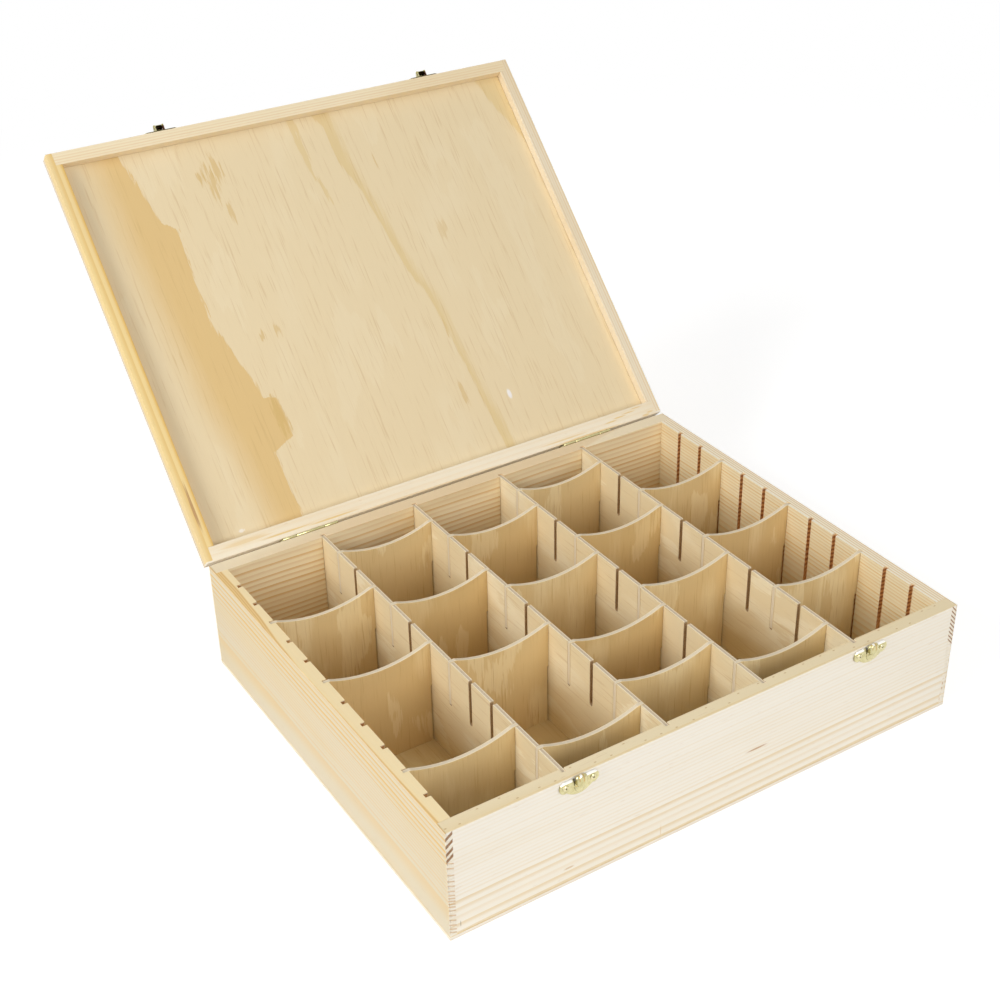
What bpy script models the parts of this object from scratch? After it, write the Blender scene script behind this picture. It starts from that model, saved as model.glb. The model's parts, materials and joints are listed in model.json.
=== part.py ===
"""Wooden card box: comb-jointed carcass, hinged lid, lift-out divider grid and two brass latches.

Units are metres, Z is up. The origin is the centre of the underside; X runs to the right, Y to the back.
The box is shown with its lid thrown back and both latch levers swung up.
"""
import math

import bmesh
import bpy
from mathutils import Matrix, Vector

# Carcass
BOX_WIDTH = 0.420
BOX_DEPTH = 0.342
WALL_HEIGHT = 0.0855
SIDE_WALL = 0.0100
END_WALL = 0.0105
BOTTOM_PLY = 0.0032
GLUE_GAP = 0.0003

# Comb joint at the corners of carcass and lid
LAP = 0.0050
COMB_SKIN = 0.0006
FINGER_HEIGHT = 0.00235
FINGER_GAP = 0.0002

# Dividers
COLUMNS = 5
SLOT_COUNT = 11
END_SPACE = 0.0250
DIVIDER_PLY = 0.0032
DIVIDER_CLEARANCE = 0.0002
DIVIDER_BELOW_RIM = 0.0007
DIVIDER_FLOOR_GAP = 0.0003
SLOT_DEPTH = 0.0375
GROOVE_DEPTH = 0.0035
GROOVE_END_GAP = 0.0004
NECK_CLEARANCE = 0.0010
ARC_SAGITTA = 0.0073
ARC_SHOULDER = 0.0006
ARC_STEPS = 14
SLOTS_USED = ((3, 6, 10), (1, 4, 7, 11), (2, 5, 8, 10), (1, 4, 7, 11), (3, 6, 9))

# Lid
LID_GAP = 0.0005
LID_RAIL_HEIGHT = 0.0077
LID_PLY = 0.0040
LID_OPEN = math.radians(134.15)

# Hinges
HINGE_FROM_SIDE = 0.0815
HINGE_LENGTH = 0.0475
END_KNUCKLE = 0.0122
KNUCKLE_GAP = 0.0003
TONGUE_INSET = 0.0001
LEAF_CORNER = 0.0003
BARREL_RADIUS = 0.0020
HINGE_PIN_RADIUS = 0.0008
PIN_CLEARANCE = 0.0003
LEAF_THICKNESS = 0.0010
BOX_LEAF_REACH = 0.0125
LID_LEAF_REACH = 0.0105
HINGE_SCREW_SPACING = 0.030
BOX_LEAF_SCREW_DROP = 0.0074
LID_LEAF_SCREW_RISE = 0.0056

# Latches. Heights count from the carcass rim, outs from the front face.
LEFT_LATCH_FROM_SIDE = 0.09585
RIGHT_LATCH_FROM_SIDE = 0.08265
PLATE_THICKNESS = 0.0009
PLATE_WIDTH = 0.0290
CATCH_TOP_DROP = 0.0020
CATCH_HEIGHT = 0.0122
STRIKE_RISE = 0.0020
STRIKE_HEIGHT = 0.0096
LOBE_RADIUS = 0.0042
LOBE_TURN = 168
BELLY_INSET = 0.0007
HOOK_WIDTH = 0.0074
TONGUE_LENGTH = 0.0057
TONGUE_BULGE = 0.0010
NOSE_HEIGHT = 0.0050
NOSE_LAND = 0.0014
LATCH_CLEARANCE = 0.0004
PIVOT_OUT = 0.0048
PIVOT_RISE = 0.0043
LEVER_WIDTH = 0.0092
LEVER_NECK_WIDTH = 0.0046
LEVER_NECK_DROP = 0.0041
LEVER_SHEET = 0.0008
LEVER_FACE_OUT = 0.0066
LEVER_END_DROP = 0.0065
LEVER_THUMB = 0.0014
LEVER_PIN_RADIUS = 0.0007
LEVER_PIN_CLEARANCE = 0.0002
LIP_THICKNESS = 0.0013
LIP_INNER_OUT = 0.0028
EAR_THICKNESS = 0.0010
EAR_GAP = 0.0003
EAR_HEAD = 0.0015
EAR_CORNER = 0.0004
EAR_FOOT = 0.0022
EAR_SETBACK = 0.0002
RIVET_STAND = 0.0003
LEVER_OPEN = math.radians(190.0)

# Screws
SCREW_HEAD_RADIUS = 0.0022
SCREW_HEAD_HEIGHT = 0.0009
SCREW_SHANK_RADIUS = 0.0009
SCREW_LENGTH = 0.0070
SCREW_TIP = 0.0014
SCREW_CLEARANCE = 0.0003
ROUND_SIDES = 16
SMALL_SIDES = 12
MERGE_DISTANCE = 0.00001

# Sizes that follow from the ones above
WALL_BASE = BOTTOM_PLY + GLUE_GAP
RIM = WALL_BASE + WALL_HEIGHT
INNER_HALF_WIDTH = BOX_WIDTH / 2 - SIDE_WALL
INNER_HALF_DEPTH = BOX_DEPTH / 2 - END_WALL
SLOT_PITCH = 2 * (INNER_HALF_DEPTH - END_SPACE) / (SLOT_COUNT - 1)
COLUMN_PITCH = 2 * INNER_HALF_WIDTH / COLUMNS
SLOT_WIDTH = DIVIDER_PLY + 2 * DIVIDER_CLEARANCE
DIVIDER_BASE = BOTTOM_PLY + DIVIDER_FLOOR_GAP
DIVIDER_TOP = RIM - DIVIDER_BELOW_RIM
LONG_HALF_LENGTH = INNER_HALF_DEPTH + GROOVE_DEPTH - GROOVE_END_GAP
HINGE_AXIS_Y = BOX_DEPTH / 2 + GLUE_GAP + BARREL_RADIUS
HINGE_AXIS_Z = RIM + LID_GAP / 2
HOLE_RADIUS = SCREW_SHANK_RADIUS + SCREW_CLEARANCE
BORE_RADIUS = HINGE_PIN_RADIUS + PIN_CLEARANCE
EYE_RADIUS = LEVER_FACE_OUT - PIVOT_OUT
EYE_BORE_RADIUS = LEVER_PIN_RADIUS + LEVER_PIN_CLEARANCE
EAR_OUTSIDE = LEVER_NECK_WIDTH + 2 * (EAR_GAP + EAR_THICKNESS)
FRONT = -BOX_DEPTH / 2
PLATE_MIDDLE = GLUE_GAP + PLATE_THICKNESS / 2
HINGE_CENTRES = (HINGE_FROM_SIDE - BOX_WIDTH / 2, BOX_WIDTH / 2 - HINGE_FROM_SIDE)
LATCH_CENTRES = (LEFT_LATCH_FROM_SIDE - BOX_WIDTH / 2, BOX_WIDTH / 2 - RIGHT_LATCH_FROM_SIDE)
SIDE_NAMES = ("left", "right")
UPRIGHT_ALONG_X = (math.pi / 2, 0, 0)
UPRIGHT_ALONG_Y = (math.pi / 2, 0, math.pi / 2)
NO_SHIFT = Vector((0, 0, 0))
CUT_OVER = 0.0010
GROOVE_HEIGHTS = (WALL_BASE - CUT_OVER, RIM + CUT_OVER)


def clear_scene():
    """Remove every object the file starts with."""
    for old in list(bpy.data.objects):
        bpy.data.objects.remove(old, do_unlink=True)


clear_scene()
parts = bpy.data.collections.new("trading_card_box")
cutters = bpy.data.collections.new("cutters")
bpy.context.scene.collection.children.link(parts)
bpy.context.scene.collection.children.link(cutters)


def finish(name, colour, roughness, metallic=0.0):
    """A Principled material of one colour."""
    material = bpy.data.materials.new(name)
    material.use_nodes = True
    shader = material.node_tree.nodes["Principled BSDF"]
    shader.inputs["Base Color"].default_value = (*colour, 1.0)
    shader.inputs["Roughness"].default_value = roughness
    shader.inputs["Metallic"].default_value = metallic
    material.diffuse_color = (*colour, 1.0)
    return material


PINE = (0.86, 0.74, 0.52)
PLY = (0.80, 0.66, 0.42)
BRASS = (0.83, 0.62, 0.22)
WOOD_ROUGHNESS = 0.6
BRASS_ROUGHNESS = 0.25


def empty(name, location, rotation=(0, 0, 0), parent=None):
    """A carrier for the pieces that move together."""
    carrier = bpy.data.objects.new(name, None)
    parts.objects.link(carrier)
    carrier.location = location
    carrier.rotation_euler = rotation
    carrier.parent = parent
    return carrier


def add_object(name, data, location=(0, 0, 0), rotation=(0, 0, 0), parent=None, home=parts):
    """Link an object with its own location, rotation and parent."""
    piece = bpy.data.objects.new(name, data)
    home.objects.link(piece)
    piece.location = location
    piece.rotation_euler = rotation
    piece.parent = parent
    return piece


def dress(piece, colour, roughness, metallic=0.0):
    """Give a piece its own material."""
    piece.data.materials.append(finish(piece.name + "_finish", colour, roughness, metallic))
    return piece


def dress_brass(piece):
    """Polished brass on a piece."""
    return dress(piece, BRASS, BRASS_ROUGHNESS, 1.0)


def add_box(mesh, low, high):
    """One box between two corners in a bmesh."""
    low = Vector(low)
    high = Vector(high)
    made = bmesh.ops.create_cube(mesh, size=1.0)
    size = Matrix.Diagonal((*(high - low), 1.0))
    bmesh.ops.transform(mesh, matrix=Matrix.Translation((low + high) / 2) @ size, verts=made["verts"])


def add_span(mesh, xs, ys, zs):
    """One box in a bmesh, from the two ends of its extent along each axis in any order."""
    corners = list(zip(sorted(xs), sorted(ys), sorted(zs)))
    add_box(mesh, *corners)


def add_rod(mesh, centre, radius, length, axis="Y", sides=SMALL_SIDES):
    """One closed cylinder in a bmesh, with a flat of its outline towards each side."""
    shape = {"segments": sides, "radius1": radius, "radius2": radius, "depth": length}
    made = bmesh.ops.create_cone(mesh, cap_ends=True, **shape)
    turns = {"X": Matrix.Rotation(math.pi / 2, 4, "Y"), "Y": Matrix.Rotation(math.pi / 2, 4, "X")}
    flat = Matrix.Rotation(math.pi / sides, 4, "Z")
    bmesh.ops.transform(mesh, matrix=Matrix.Translation(centre) @ turns[axis] @ flat, verts=made["verts"])


def mesh_from(name, build):
    """Mesh data from a function that fills a bmesh."""
    work = bmesh.new()
    build(work)
    data = bpy.data.meshes.new(name)
    work.to_mesh(data)
    work.free()
    return data


def block(name, low, high, colour=PINE, parent=None):
    """A rectangular board with its origin at its centre."""
    centre = (Vector(low) + Vector(high)) / 2
    half = (Vector(high) - Vector(low)) / 2
    data = mesh_from(name, lambda work: add_box(work, -half, half))
    return dress(add_object(name, data, centre, parent=parent), colour, WOOD_ROUGHNESS)


def combine(piece, operand, operation):
    """Boolean of a piece with a hidden operand."""
    operand.hide_render = True
    operand.display_type = "WIRE"
    step = piece.modifiers.new(operation.lower() + "_" + operand.name, "BOOLEAN")
    step.operation = operation
    step.solver = "EXACT"
    step.object = operand


def shape_with(piece, name, build, operation="DIFFERENCE", parent=None):
    """Cut or join a piece with shapes that a function adds to a bmesh."""
    operand = add_object(name, mesh_from(name, build), parent=parent, home=cutters)
    combine(piece, operand, operation)


def outline_curve(name, loops, thickness):
    """A filled flat outline in its own XY plane, with any further loops as holes."""
    data = bpy.data.curves.new(name, "CURVE")
    data.dimensions = "2D"
    data.fill_mode = "BOTH"
    data.extrude = thickness / 2
    for loop in loops:
        spline = data.splines.new("POLY")
        spline.points.add(len(loop) - 1)
        for point, (u, v) in zip(spline.points, loop):
            point.co = (u, v, 0.0, 1.0)
        spline.use_cyclic_u = True
    return data


def solid_outline(name, loops, thickness, location, rotation, parent=None, home=parts):
    """A filled outline turned into a welded mesh object, ready to be cut or joined."""
    outline = outline_curve(name, loops, thickness)
    curve = add_object(name + "_curve", outline, location, rotation, parent, home)
    graph = bpy.context.evaluated_depsgraph_get()
    data = bpy.data.meshes.new_from_object(curve.evaluated_get(graph))
    work = bmesh.new()
    work.from_mesh(data)
    bmesh.ops.remove_doubles(work, verts=work.verts, dist=MERGE_DISTANCE)
    bmesh.ops.recalc_face_normals(work, faces=work.faces)
    work.to_mesh(data)
    work.free()
    piece = add_object(name, data, parent=parent, home=home)
    piece.location = curve.location
    piece.rotation_euler = curve.rotation_euler
    source = curve.data
    bpy.data.objects.remove(curve, do_unlink=True)
    bpy.data.curves.remove(source)
    return piece


def arc(centre, radius, start, end, steps):
    """Points on an arc, angles in degrees."""
    angles = [math.radians(start + (end - start) * i / steps) for i in range(steps + 1)]
    return [(centre[0] + radius * math.cos(a), centre[1] + radius * math.sin(a)) for a in angles]


def circle(centre, radius, sides=SMALL_SIDES):
    """Points on a full circle."""
    return arc(centre, radius, 0, 360 - 360 / sides, sides - 1)


def slot_y(number):
    """Centre of a divider slot, counted from the back."""
    return ((SLOT_COUNT + 1) / 2 - number) * SLOT_PITCH


def long_divider_x(number):
    """Centre of a front-to-back divider, counted from the left."""
    return (number - COLUMNS / 2) * COLUMN_PITCH


# Comb joint

def finger_levels(height):
    """Count of fingers and their true height on a board."""
    count = max(3, round(height / FINGER_HEIGHT))
    return count, height / count


def comb_bands(base, height, first):
    """Low and high edges of every second level, run past the board at its own edges."""
    count, step = finger_levels(height)
    bands = []
    for level in range(first, count, 2):
        low = base + level * step - (CUT_OVER if level == 0 else FINGER_GAP / 2)
        high = base + (level + 1) * step + (CUT_OVER if level == count - 1 else FINGER_GAP / 2)
        bands.append((low, high))
    return bands


def side_board_sockets(work, base, height):
    """Sockets in the outer laps of the left and right boards, at every odd level."""
    for side in (-1, 1):
        xs = (side * (BOX_WIDTH / 2 - LAP - CUT_OVER), side * (BOX_WIDTH / 2 - COMB_SKIN))
        for end in (-1, 1):
            ys = (end * (BOX_DEPTH / 2 + CUT_OVER), end * (INNER_HALF_DEPTH - GLUE_GAP))
            for band in comb_bands(base, height, 1):
                add_span(work, xs, ys, band)


def side_board_rebates(work, base, height):
    """Rebates that leave only the outer laps of the left and right boards at their ends."""
    for side in (-1, 1):
        xs = (side * (INNER_HALF_WIDTH - CUT_OVER), side * (BOX_WIDTH / 2 - LAP))
        for end in (-1, 1):
            ys = (end * (BOX_DEPTH / 2 + CUT_OVER), end * (INNER_HALF_DEPTH - GLUE_GAP))
            add_span(work, xs, ys, (base - CUT_OVER, base + height + CUT_OVER))


def end_board_gaps(work, base, height):
    """Gaps between the fingers of the front and back boards, at every even level."""
    for side in (-1, 1):
        xs = (side * (BOX_WIDTH / 2 - LAP - GLUE_GAP), side * (BOX_WIDTH / 2 + CUT_OVER))
        for end in (-1, 1):
            ys = (end * (BOX_DEPTH / 2 + CUT_OVER), end * (INNER_HALF_DEPTH - CUT_OVER))
            for band in comb_bands(base, height, 0):
                add_span(work, xs, ys, band)


def frame_boards(prefix, suffix, base, height, parent, origin):
    """Four boards joined by the comb, for the carcass or the lid frame."""
    boards = {}
    shift = Vector(origin)
    for side, name in ((-1, "left"), (1, "right")):
        x_low = min(side * BOX_WIDTH / 2, side * INNER_HALF_WIDTH)
        low = Vector((x_low, -BOX_DEPTH / 2, base)) - shift
        high = Vector((x_low + SIDE_WALL, BOX_DEPTH / 2, base + height)) - shift
        boards[name] = block(prefix + name + suffix, low, high, parent=parent)
    end_half = BOX_WIDTH / 2 - COMB_SKIN - GLUE_GAP
    for end, name in ((-1, "front"), (1, "back")):
        y_low = min(end * BOX_DEPTH / 2, end * INNER_HALF_DEPTH)
        low = Vector((-end_half, y_low, base)) - shift
        high = Vector((end_half, y_low + END_WALL, base + height)) - shift
        boards[name] = block(prefix + name + suffix, low, high, parent=parent)
    tools = (
        ("rebates", side_board_rebates, ("left", "right")),
        ("sockets", side_board_sockets, ("left", "right")),
        ("finger_gaps", end_board_gaps, ("front", "back")),
    )
    for label, build, names in tools:
        data = mesh_from(prefix + label, lambda work: build(work, base, height))
        tool = add_object(prefix + label, data, -shift, parent=parent, home=cutters)
        for name in names:
            combine(boards[name], tool, "DIFFERENCE")
    return boards


# Carcass

bottom_panel = block(
    "bottom_panel",
    (-BOX_WIDTH / 2, -BOX_DEPTH / 2, 0),
    (BOX_WIDTH / 2, BOX_DEPTH / 2, BOTTOM_PLY),
    PLY,
)
walls = frame_boards("", "_wall", WALL_BASE, WALL_HEIGHT, None, (0, 0, 0))


def side_grooves(work):
    """Upright grooves in the left and right walls, open at the rim."""
    for side in (-1, 1):
        xs = (side * (INNER_HALF_WIDTH + GROOVE_DEPTH), side * (INNER_HALF_WIDTH - CUT_OVER))
        for number in range(1, SLOT_COUNT + 1):
            ys = (slot_y(number) - SLOT_WIDTH / 2, slot_y(number) + SLOT_WIDTH / 2)
            add_span(work, xs, ys, GROOVE_HEIGHTS)


def end_grooves(work):
    """Upright grooves in the front and back walls for the ends of the long dividers."""
    for end in (-1, 1):
        ys = (end * (INNER_HALF_DEPTH + GROOVE_DEPTH), end * (INNER_HALF_DEPTH - CUT_OVER))
        for number in range(1, COLUMNS):
            xs = (long_divider_x(number) - SLOT_WIDTH / 2, long_divider_x(number) + SLOT_WIDTH / 2)
            add_span(work, xs, ys, GROOVE_HEIGHTS)


groove_sets = (
    ("side_grooves", side_grooves, ("left", "right")),
    ("end_grooves", end_grooves, ("front", "back")),
)
for label, build, names in groove_sets:
    groove_tool = add_object(label, mesh_from(label, build), home=cutters)
    for wall_name in names:
        combine(walls[wall_name], groove_tool, "DIFFERENCE")


# Dividers

def long_divider_loop():
    """Outline of a front-to-back divider: a plate with round-ended slots in its top edge."""
    points = [(-LONG_HALF_LENGTH, DIVIDER_TOP), (-LONG_HALF_LENGTH, DIVIDER_BASE)]
    points += [(LONG_HALF_LENGTH, DIVIDER_BASE), (LONG_HALF_LENGTH, DIVIDER_TOP)]
    half = SLOT_WIDTH / 2
    for number in range(1, SLOT_COUNT + 1):
        middle = slot_y(number)
        round_centre = (middle, DIVIDER_TOP - SLOT_DEPTH + half)
        points.append((middle + half, DIVIDER_TOP))
        points += arc(round_centre, half, 0, -180, 6)
        points.append((middle - half, DIVIDER_TOP))
    return points


def ear_bottom():
    """Underside of the ears, clear of the round slot ends that carry them."""
    half = SLOT_WIDTH / 2
    round_centre = DIVIDER_TOP - SLOT_DEPTH + half
    return round_centre - math.sqrt(half ** 2 - (DIVIDER_PLY / 2) ** 2) + DIVIDER_CLEARANCE


def cross_divider_loop(left_reach, right_reach, left_neck, right_neck):
    """Outline of a cross divider: ears in the upper half, narrower below, a hollow arc on top."""
    left_foot = (-left_neck, DIVIDER_BASE)
    right_foot = (right_neck, DIVIDER_BASE)
    points = [left_foot, right_foot, (right_neck, ear_bottom()), (right_reach, ear_bottom())]
    points.append((right_reach, DIVIDER_TOP))
    chord_left = -left_neck + ARC_SHOULDER
    chord_right = right_neck - ARC_SHOULDER
    half = (chord_right - chord_left) / 2
    middle = (chord_left + chord_right) / 2
    radius = (half ** 2 + ARC_SAGITTA ** 2) / (2 * ARC_SAGITTA)
    spread = math.degrees(math.asin(half / radius))
    centre = (middle, DIVIDER_TOP - ARC_SAGITTA + radius)
    points += arc(centre, radius, -90 + spread, -90 - spread, ARC_STEPS)
    points += [(-left_reach, DIVIDER_TOP), (-left_reach, ear_bottom()), (-left_neck, ear_bottom())]
    return points


grid = empty("divider_grid", (0, 0, 0))

for number in range(1, COLUMNS):
    name = "long_divider_%d" % number
    data = outline_curve(name, [long_divider_loop()], DIVIDER_PLY)
    divider = add_object(name, data, (long_divider_x(number), 0, 0), UPRIGHT_ALONG_Y, grid)
    dress(divider, PLY, WOOD_ROUGHNESS)

through_reach = COLUMN_PITCH / 2 + DIVIDER_PLY / 2
through_neck = COLUMN_PITCH / 2 - DIVIDER_PLY / 2 - NECK_CLEARANCE
wall_reach = COLUMN_PITCH / 2 + GROOVE_DEPTH - GROOVE_END_GAP
wall_neck = COLUMN_PITCH / 2 - NECK_CLEARANCE

for column, slots in enumerate(SLOTS_USED, start=1):
    at_left_wall = column == 1
    at_right_wall = column == COLUMNS
    loop = cross_divider_loop(
        wall_reach if at_left_wall else through_reach,
        wall_reach if at_right_wall else through_reach,
        wall_neck if at_left_wall else through_neck,
        wall_neck if at_right_wall else through_neck,
    )
    column_x = (column - (COLUMNS + 1) / 2) * COLUMN_PITCH
    for slot in slots:
        name = "cross_divider_c%d_s%d" % (column, slot)
        data = outline_curve(name, [loop], DIVIDER_PLY)
        place = (column_x, slot_y(slot), 0)
        dress(add_object(name, data, place, UPRIGHT_ALONG_X, grid), PLY, WOOD_ROUGHNESS)


# Lid, built closed in the frame of its hinge axis

lid = empty("lid_axis", (0, HINGE_AXIS_Y, HINGE_AXIS_Z), (-LID_OPEN, 0, 0))
AXIS = Vector((0, HINGE_AXIS_Y, HINGE_AXIS_Z))
LID_BASE = RIM + LID_GAP
rails = frame_boards("lid_", "_rail", LID_BASE, LID_RAIL_HEIGHT, lid, AXIS)
LID_PLY_BASE = LID_BASE + LID_RAIL_HEIGHT + GLUE_GAP
lid_panel = block(
    "lid_panel",
    Vector((-BOX_WIDTH / 2, -BOX_DEPTH / 2, LID_PLY_BASE)) - AXIS,
    Vector((BOX_WIDTH / 2, BOX_DEPTH / 2, LID_PLY_BASE + LID_PLY)) - AXIS,
    PLY,
    parent=lid,
)


# Screws

def screw_profile():
    """Half section of a round-headed screw, from the top of the head down its outer side to the point."""
    dome = [
        (SCREW_HEAD_RADIUS * math.sin(t), 0.0, SCREW_HEAD_HEIGHT * math.cos(t))
        for t in (math.radians(a) for a in (0, 32, 62, 90))
    ]
    shank = [
        (SCREW_SHANK_RADIUS, 0.0, 0.0),
        (SCREW_SHANK_RADIUS, 0.0, SCREW_TIP - SCREW_LENGTH),
        (0.0, 0.0, -SCREW_LENGTH),
    ]
    points = dome + shank
    data = bpy.data.meshes.new("screw")
    data.from_pydata(points, [(i, i + 1) for i in range(len(points) - 1)], [])
    return data


screw_mesh = screw_profile()


def add_screw(name, place, outward, parent=None):
    """A turned screw seated at a point of the front or back; outward is the Y sign its head faces."""
    screw = add_object(name, screw_mesh, place, (-outward * math.pi / 2, 0, 0), parent)
    turn = screw.modifiers.new("turn", "SCREW")
    turn.axis = "Z"
    turn.steps = SMALL_SIDES
    turn.render_steps = SMALL_SIDES
    turn.use_merge_vertices = True
    turn.merge_threshold = MERGE_DISTANCE
    if not screw_mesh.materials:
        dress_brass(screw)
    return screw


def pilot_holes(work, places, outward):
    """Clearance holes in the wood behind a set of screw seats."""
    depth = SCREW_LENGTH + SCREW_CLEARANCE
    for place in places:
        middle = Vector(place) - Vector((0, outward * (depth / 2 - CUT_OVER), 0))
        add_rod(work, middle, HOLE_RADIUS, depth + 2 * CUT_OVER)


# Hinges

def leaf_loop(reach, knuckles, direction):
    """Outline of a hinge leaf with a tongue up to the axis at each of its knuckles."""
    half = HINGE_LENGTH / 2
    shoulder = direction * (BARREL_RADIUS + KNUCKLE_GAP + TONGUE_INSET)
    corner = shoulder + direction * LEAF_CORNER
    points = [(-half, direction * reach), (half, direction * reach), (half, corner)]
    for low, high in reversed(knuckles):
        left = low + TONGUE_INSET
        right = high - TONGUE_INSET
        points += [(right, shoulder), (right, 0.0), (left, 0.0), (left, shoulder)]
    points.append((-half, corner))
    return points


def hinge_leaf(name, centre_x, knuckles, on_lid):
    """A hinge leaf: flat plate, rolled knuckles and the bore for the pin."""
    reach = LID_LEAF_REACH if on_lid else BOX_LEAF_REACH
    screw_offset = LID_LEAF_SCREW_RISE if on_lid else -BOX_LEAF_SCREW_DROP
    direction = 1 if on_lid else -1
    axis = AXIS if on_lid else NO_SHIFT
    parent = lid if on_lid else None
    holes = [circle((s * HINGE_SCREW_SPACING / 2, screw_offset), HOLE_RADIUS) for s in (-1, 1)]
    plate_y = BOX_DEPTH / 2 + GLUE_GAP + LEAF_THICKNESS / 2
    place = Vector((centre_x, plate_y, HINGE_AXIS_Z)) - axis
    loops = [leaf_loop(reach, knuckles, direction)] + holes
    leaf = solid_outline(name, loops, LEAF_THICKNESS, place, UPRIGHT_ALONG_X, parent)
    centre = Vector((centre_x, HINGE_AXIS_Y, HINGE_AXIS_Z)) - axis

    def barrel(work):
        for low, high in knuckles:
            middle = centre + Vector(((low + high) / 2, 0, 0))
            add_rod(work, middle, BARREL_RADIUS, high - low, "X", ROUND_SIDES)

    def bore(work):
        add_rod(work, centre, BORE_RADIUS, HINGE_LENGTH + 2 * CUT_OVER, "X", SMALL_SIDES)

    shape_with(leaf, name + "_barrel", barrel, "UNION", parent)
    shape_with(leaf, name + "_bore", bore, "DIFFERENCE", parent)
    return dress_brass(leaf)


END_EDGE = HINGE_LENGTH / 2 - END_KNUCKLE
box_knuckles = [(-HINGE_LENGTH / 2, -END_EDGE), (END_EDGE, HINGE_LENGTH / 2)]
lid_knuckles = [(-END_EDGE + KNUCKLE_GAP, END_EDGE - KNUCKLE_GAP)]
BACK_SEAT = BOX_DEPTH / 2 + GLUE_GAP + LEAF_THICKNESS + SCREW_CLEARANCE
for side, centre_x in zip(SIDE_NAMES, HINGE_CENTRES):
    hinge = "hinge_" + side
    hinge_leaf(hinge + "_box_leaf", centre_x, box_knuckles, False)
    hinge_leaf(hinge + "_lid_leaf", centre_x, lid_knuckles, True)
    pin_data = mesh_from(hinge, lambda work: add_rod(work, (0, 0, 0), HINGE_PIN_RADIUS, HINGE_LENGTH, "X"))
    dress_brass(add_object(hinge + "_pin", pin_data, (centre_x, HINGE_AXIS_Y, HINGE_AXIS_Z)))

hinge_screw_xs = [centre_x + s * HINGE_SCREW_SPACING / 2 for centre_x in HINGE_CENTRES for s in (-1, 1)]
box_seats = [Vector((x, BACK_SEAT, HINGE_AXIS_Z - BOX_LEAF_SCREW_DROP)) for x in hinge_screw_xs]
lid_seats = [Vector((x, BACK_SEAT, HINGE_AXIS_Z + LID_LEAF_SCREW_RISE)) - AXIS for x in hinge_screw_xs]
for number, (box_seat, lid_seat) in enumerate(zip(box_seats, lid_seats), start=1):
    add_screw("hinge_screw_box_%d" % number, box_seat, 1)
    add_screw("hinge_screw_lid_%d" % number, lid_seat, 1, lid)
shape_with(walls["back"], "back_wall_pilots", lambda work: pilot_holes(work, box_seats, 1))
shape_with(rails["back"], "back_rail_pilots", lambda work: pilot_holes(work, lid_seats, 1), parent=lid)


# Latches

def plate_loop(flat_height, height, direction):
    """Half-moon plate: a straight edge facing the lid joint, a lobe at each end and a full belly."""
    lobe_x = PLATE_WIDTH / 2 - LOBE_RADIUS
    belly_half = lobe_x - BELLY_INSET
    belly_start = 2 * LOBE_RADIUS - BELLY_INSET / 2
    sagitta = height - belly_start
    radius = (belly_half ** 2 + sagitta ** 2) / (2 * sagitta)
    spread = math.degrees(math.asin(belly_half / radius))
    right = arc((lobe_x, LOBE_RADIUS), LOBE_RADIUS, -90, LOBE_TURN - 90, 8)
    belly = arc((0, height - radius), radius, 90 - spread, 90 + spread, 10)
    left = arc((-lobe_x, LOBE_RADIUS), LOBE_RADIUS, 270 - LOBE_TURN, 270, 8)
    return [(u, flat_height + direction * v) for u, v in right + belly + left]


def latch_plate(name, centre_x, flat_height, height, direction, axis, parent):
    """A half-moon plate with two screw holes, lying on the front face."""
    lobe_x = PLATE_WIDTH / 2 - LOBE_RADIUS
    holes = [circle((s * lobe_x, flat_height + direction * LOBE_RADIUS), HOLE_RADIUS) for s in (-1, 1)]
    place = Vector((centre_x, FRONT - PLATE_MIDDLE, RIM)) - axis
    loops = [plate_loop(flat_height, height, direction)] + holes
    return solid_outline(name, loops, PLATE_THICKNESS, place, UPRIGHT_ALONG_X, parent)


def side_view(name, loop, width, centre_x, axis, parent):
    """Operand whose outline is given as outs and heights, with its width along X."""
    place = Vector((centre_x, FRONT, RIM)) - axis
    flipped = [(-out, up) for out, up in reversed(loop)]
    return solid_outline(name, [flipped], width, place, UPRIGHT_ALONG_Y, parent, cutters)


def hook_loop():
    """Side view of the catch's tongue: a low dome, a seat for the lever's lip and a round nose above it."""
    lip_sweep = PIVOT_RISE + LEVER_END_DROP - LIP_THICKNESS - LATCH_CLEARANCE
    seat_out = LIP_INNER_OUT - LATCH_CLEARANCE
    tip_out = LEVER_FACE_OUT - LEVER_SHEET - LATCH_CLEARANCE
    nose_root = PIVOT_RISE - math.sqrt(lip_sweep ** 2 - (seat_out - PIVOT_OUT) ** 2)
    nose_tip = PIVOT_RISE - math.sqrt(lip_sweep ** 2 - (tip_out - PIVOT_OUT) ** 2)
    ledge = -LEVER_END_DROP - LATCH_CLEARANCE
    half_dome = TONGUE_LENGTH / 2
    dome = [
        (seat_out - TONGUE_BULGE + TONGUE_BULGE * math.cos(t), ledge - half_dome + half_dome * math.sin(t))
        for t in (math.radians(a) for a in range(-80, 81, 20))
    ]
    half_nose = (tip_out - PLATE_MIDDLE) / 2
    crown_base = nose_tip + NOSE_LAND
    crown_rise = NOSE_HEIGHT - NOSE_LAND
    crown = [
        (PLATE_MIDDLE + half_nose + half_nose * math.cos(t), crown_base + crown_rise * math.sin(t))
        for t in (math.radians(a) for a in range(0, 161, 20))
    ]
    foot = (PLATE_MIDDLE, ledge - TONGUE_LENGTH)
    return [foot] + dome + [(seat_out, ledge), (seat_out, nose_root), (tip_out, nose_tip)] + crown + [
        (PLATE_MIDDLE, -CATCH_TOP_DROP - EAR_SETBACK)
    ]


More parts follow.
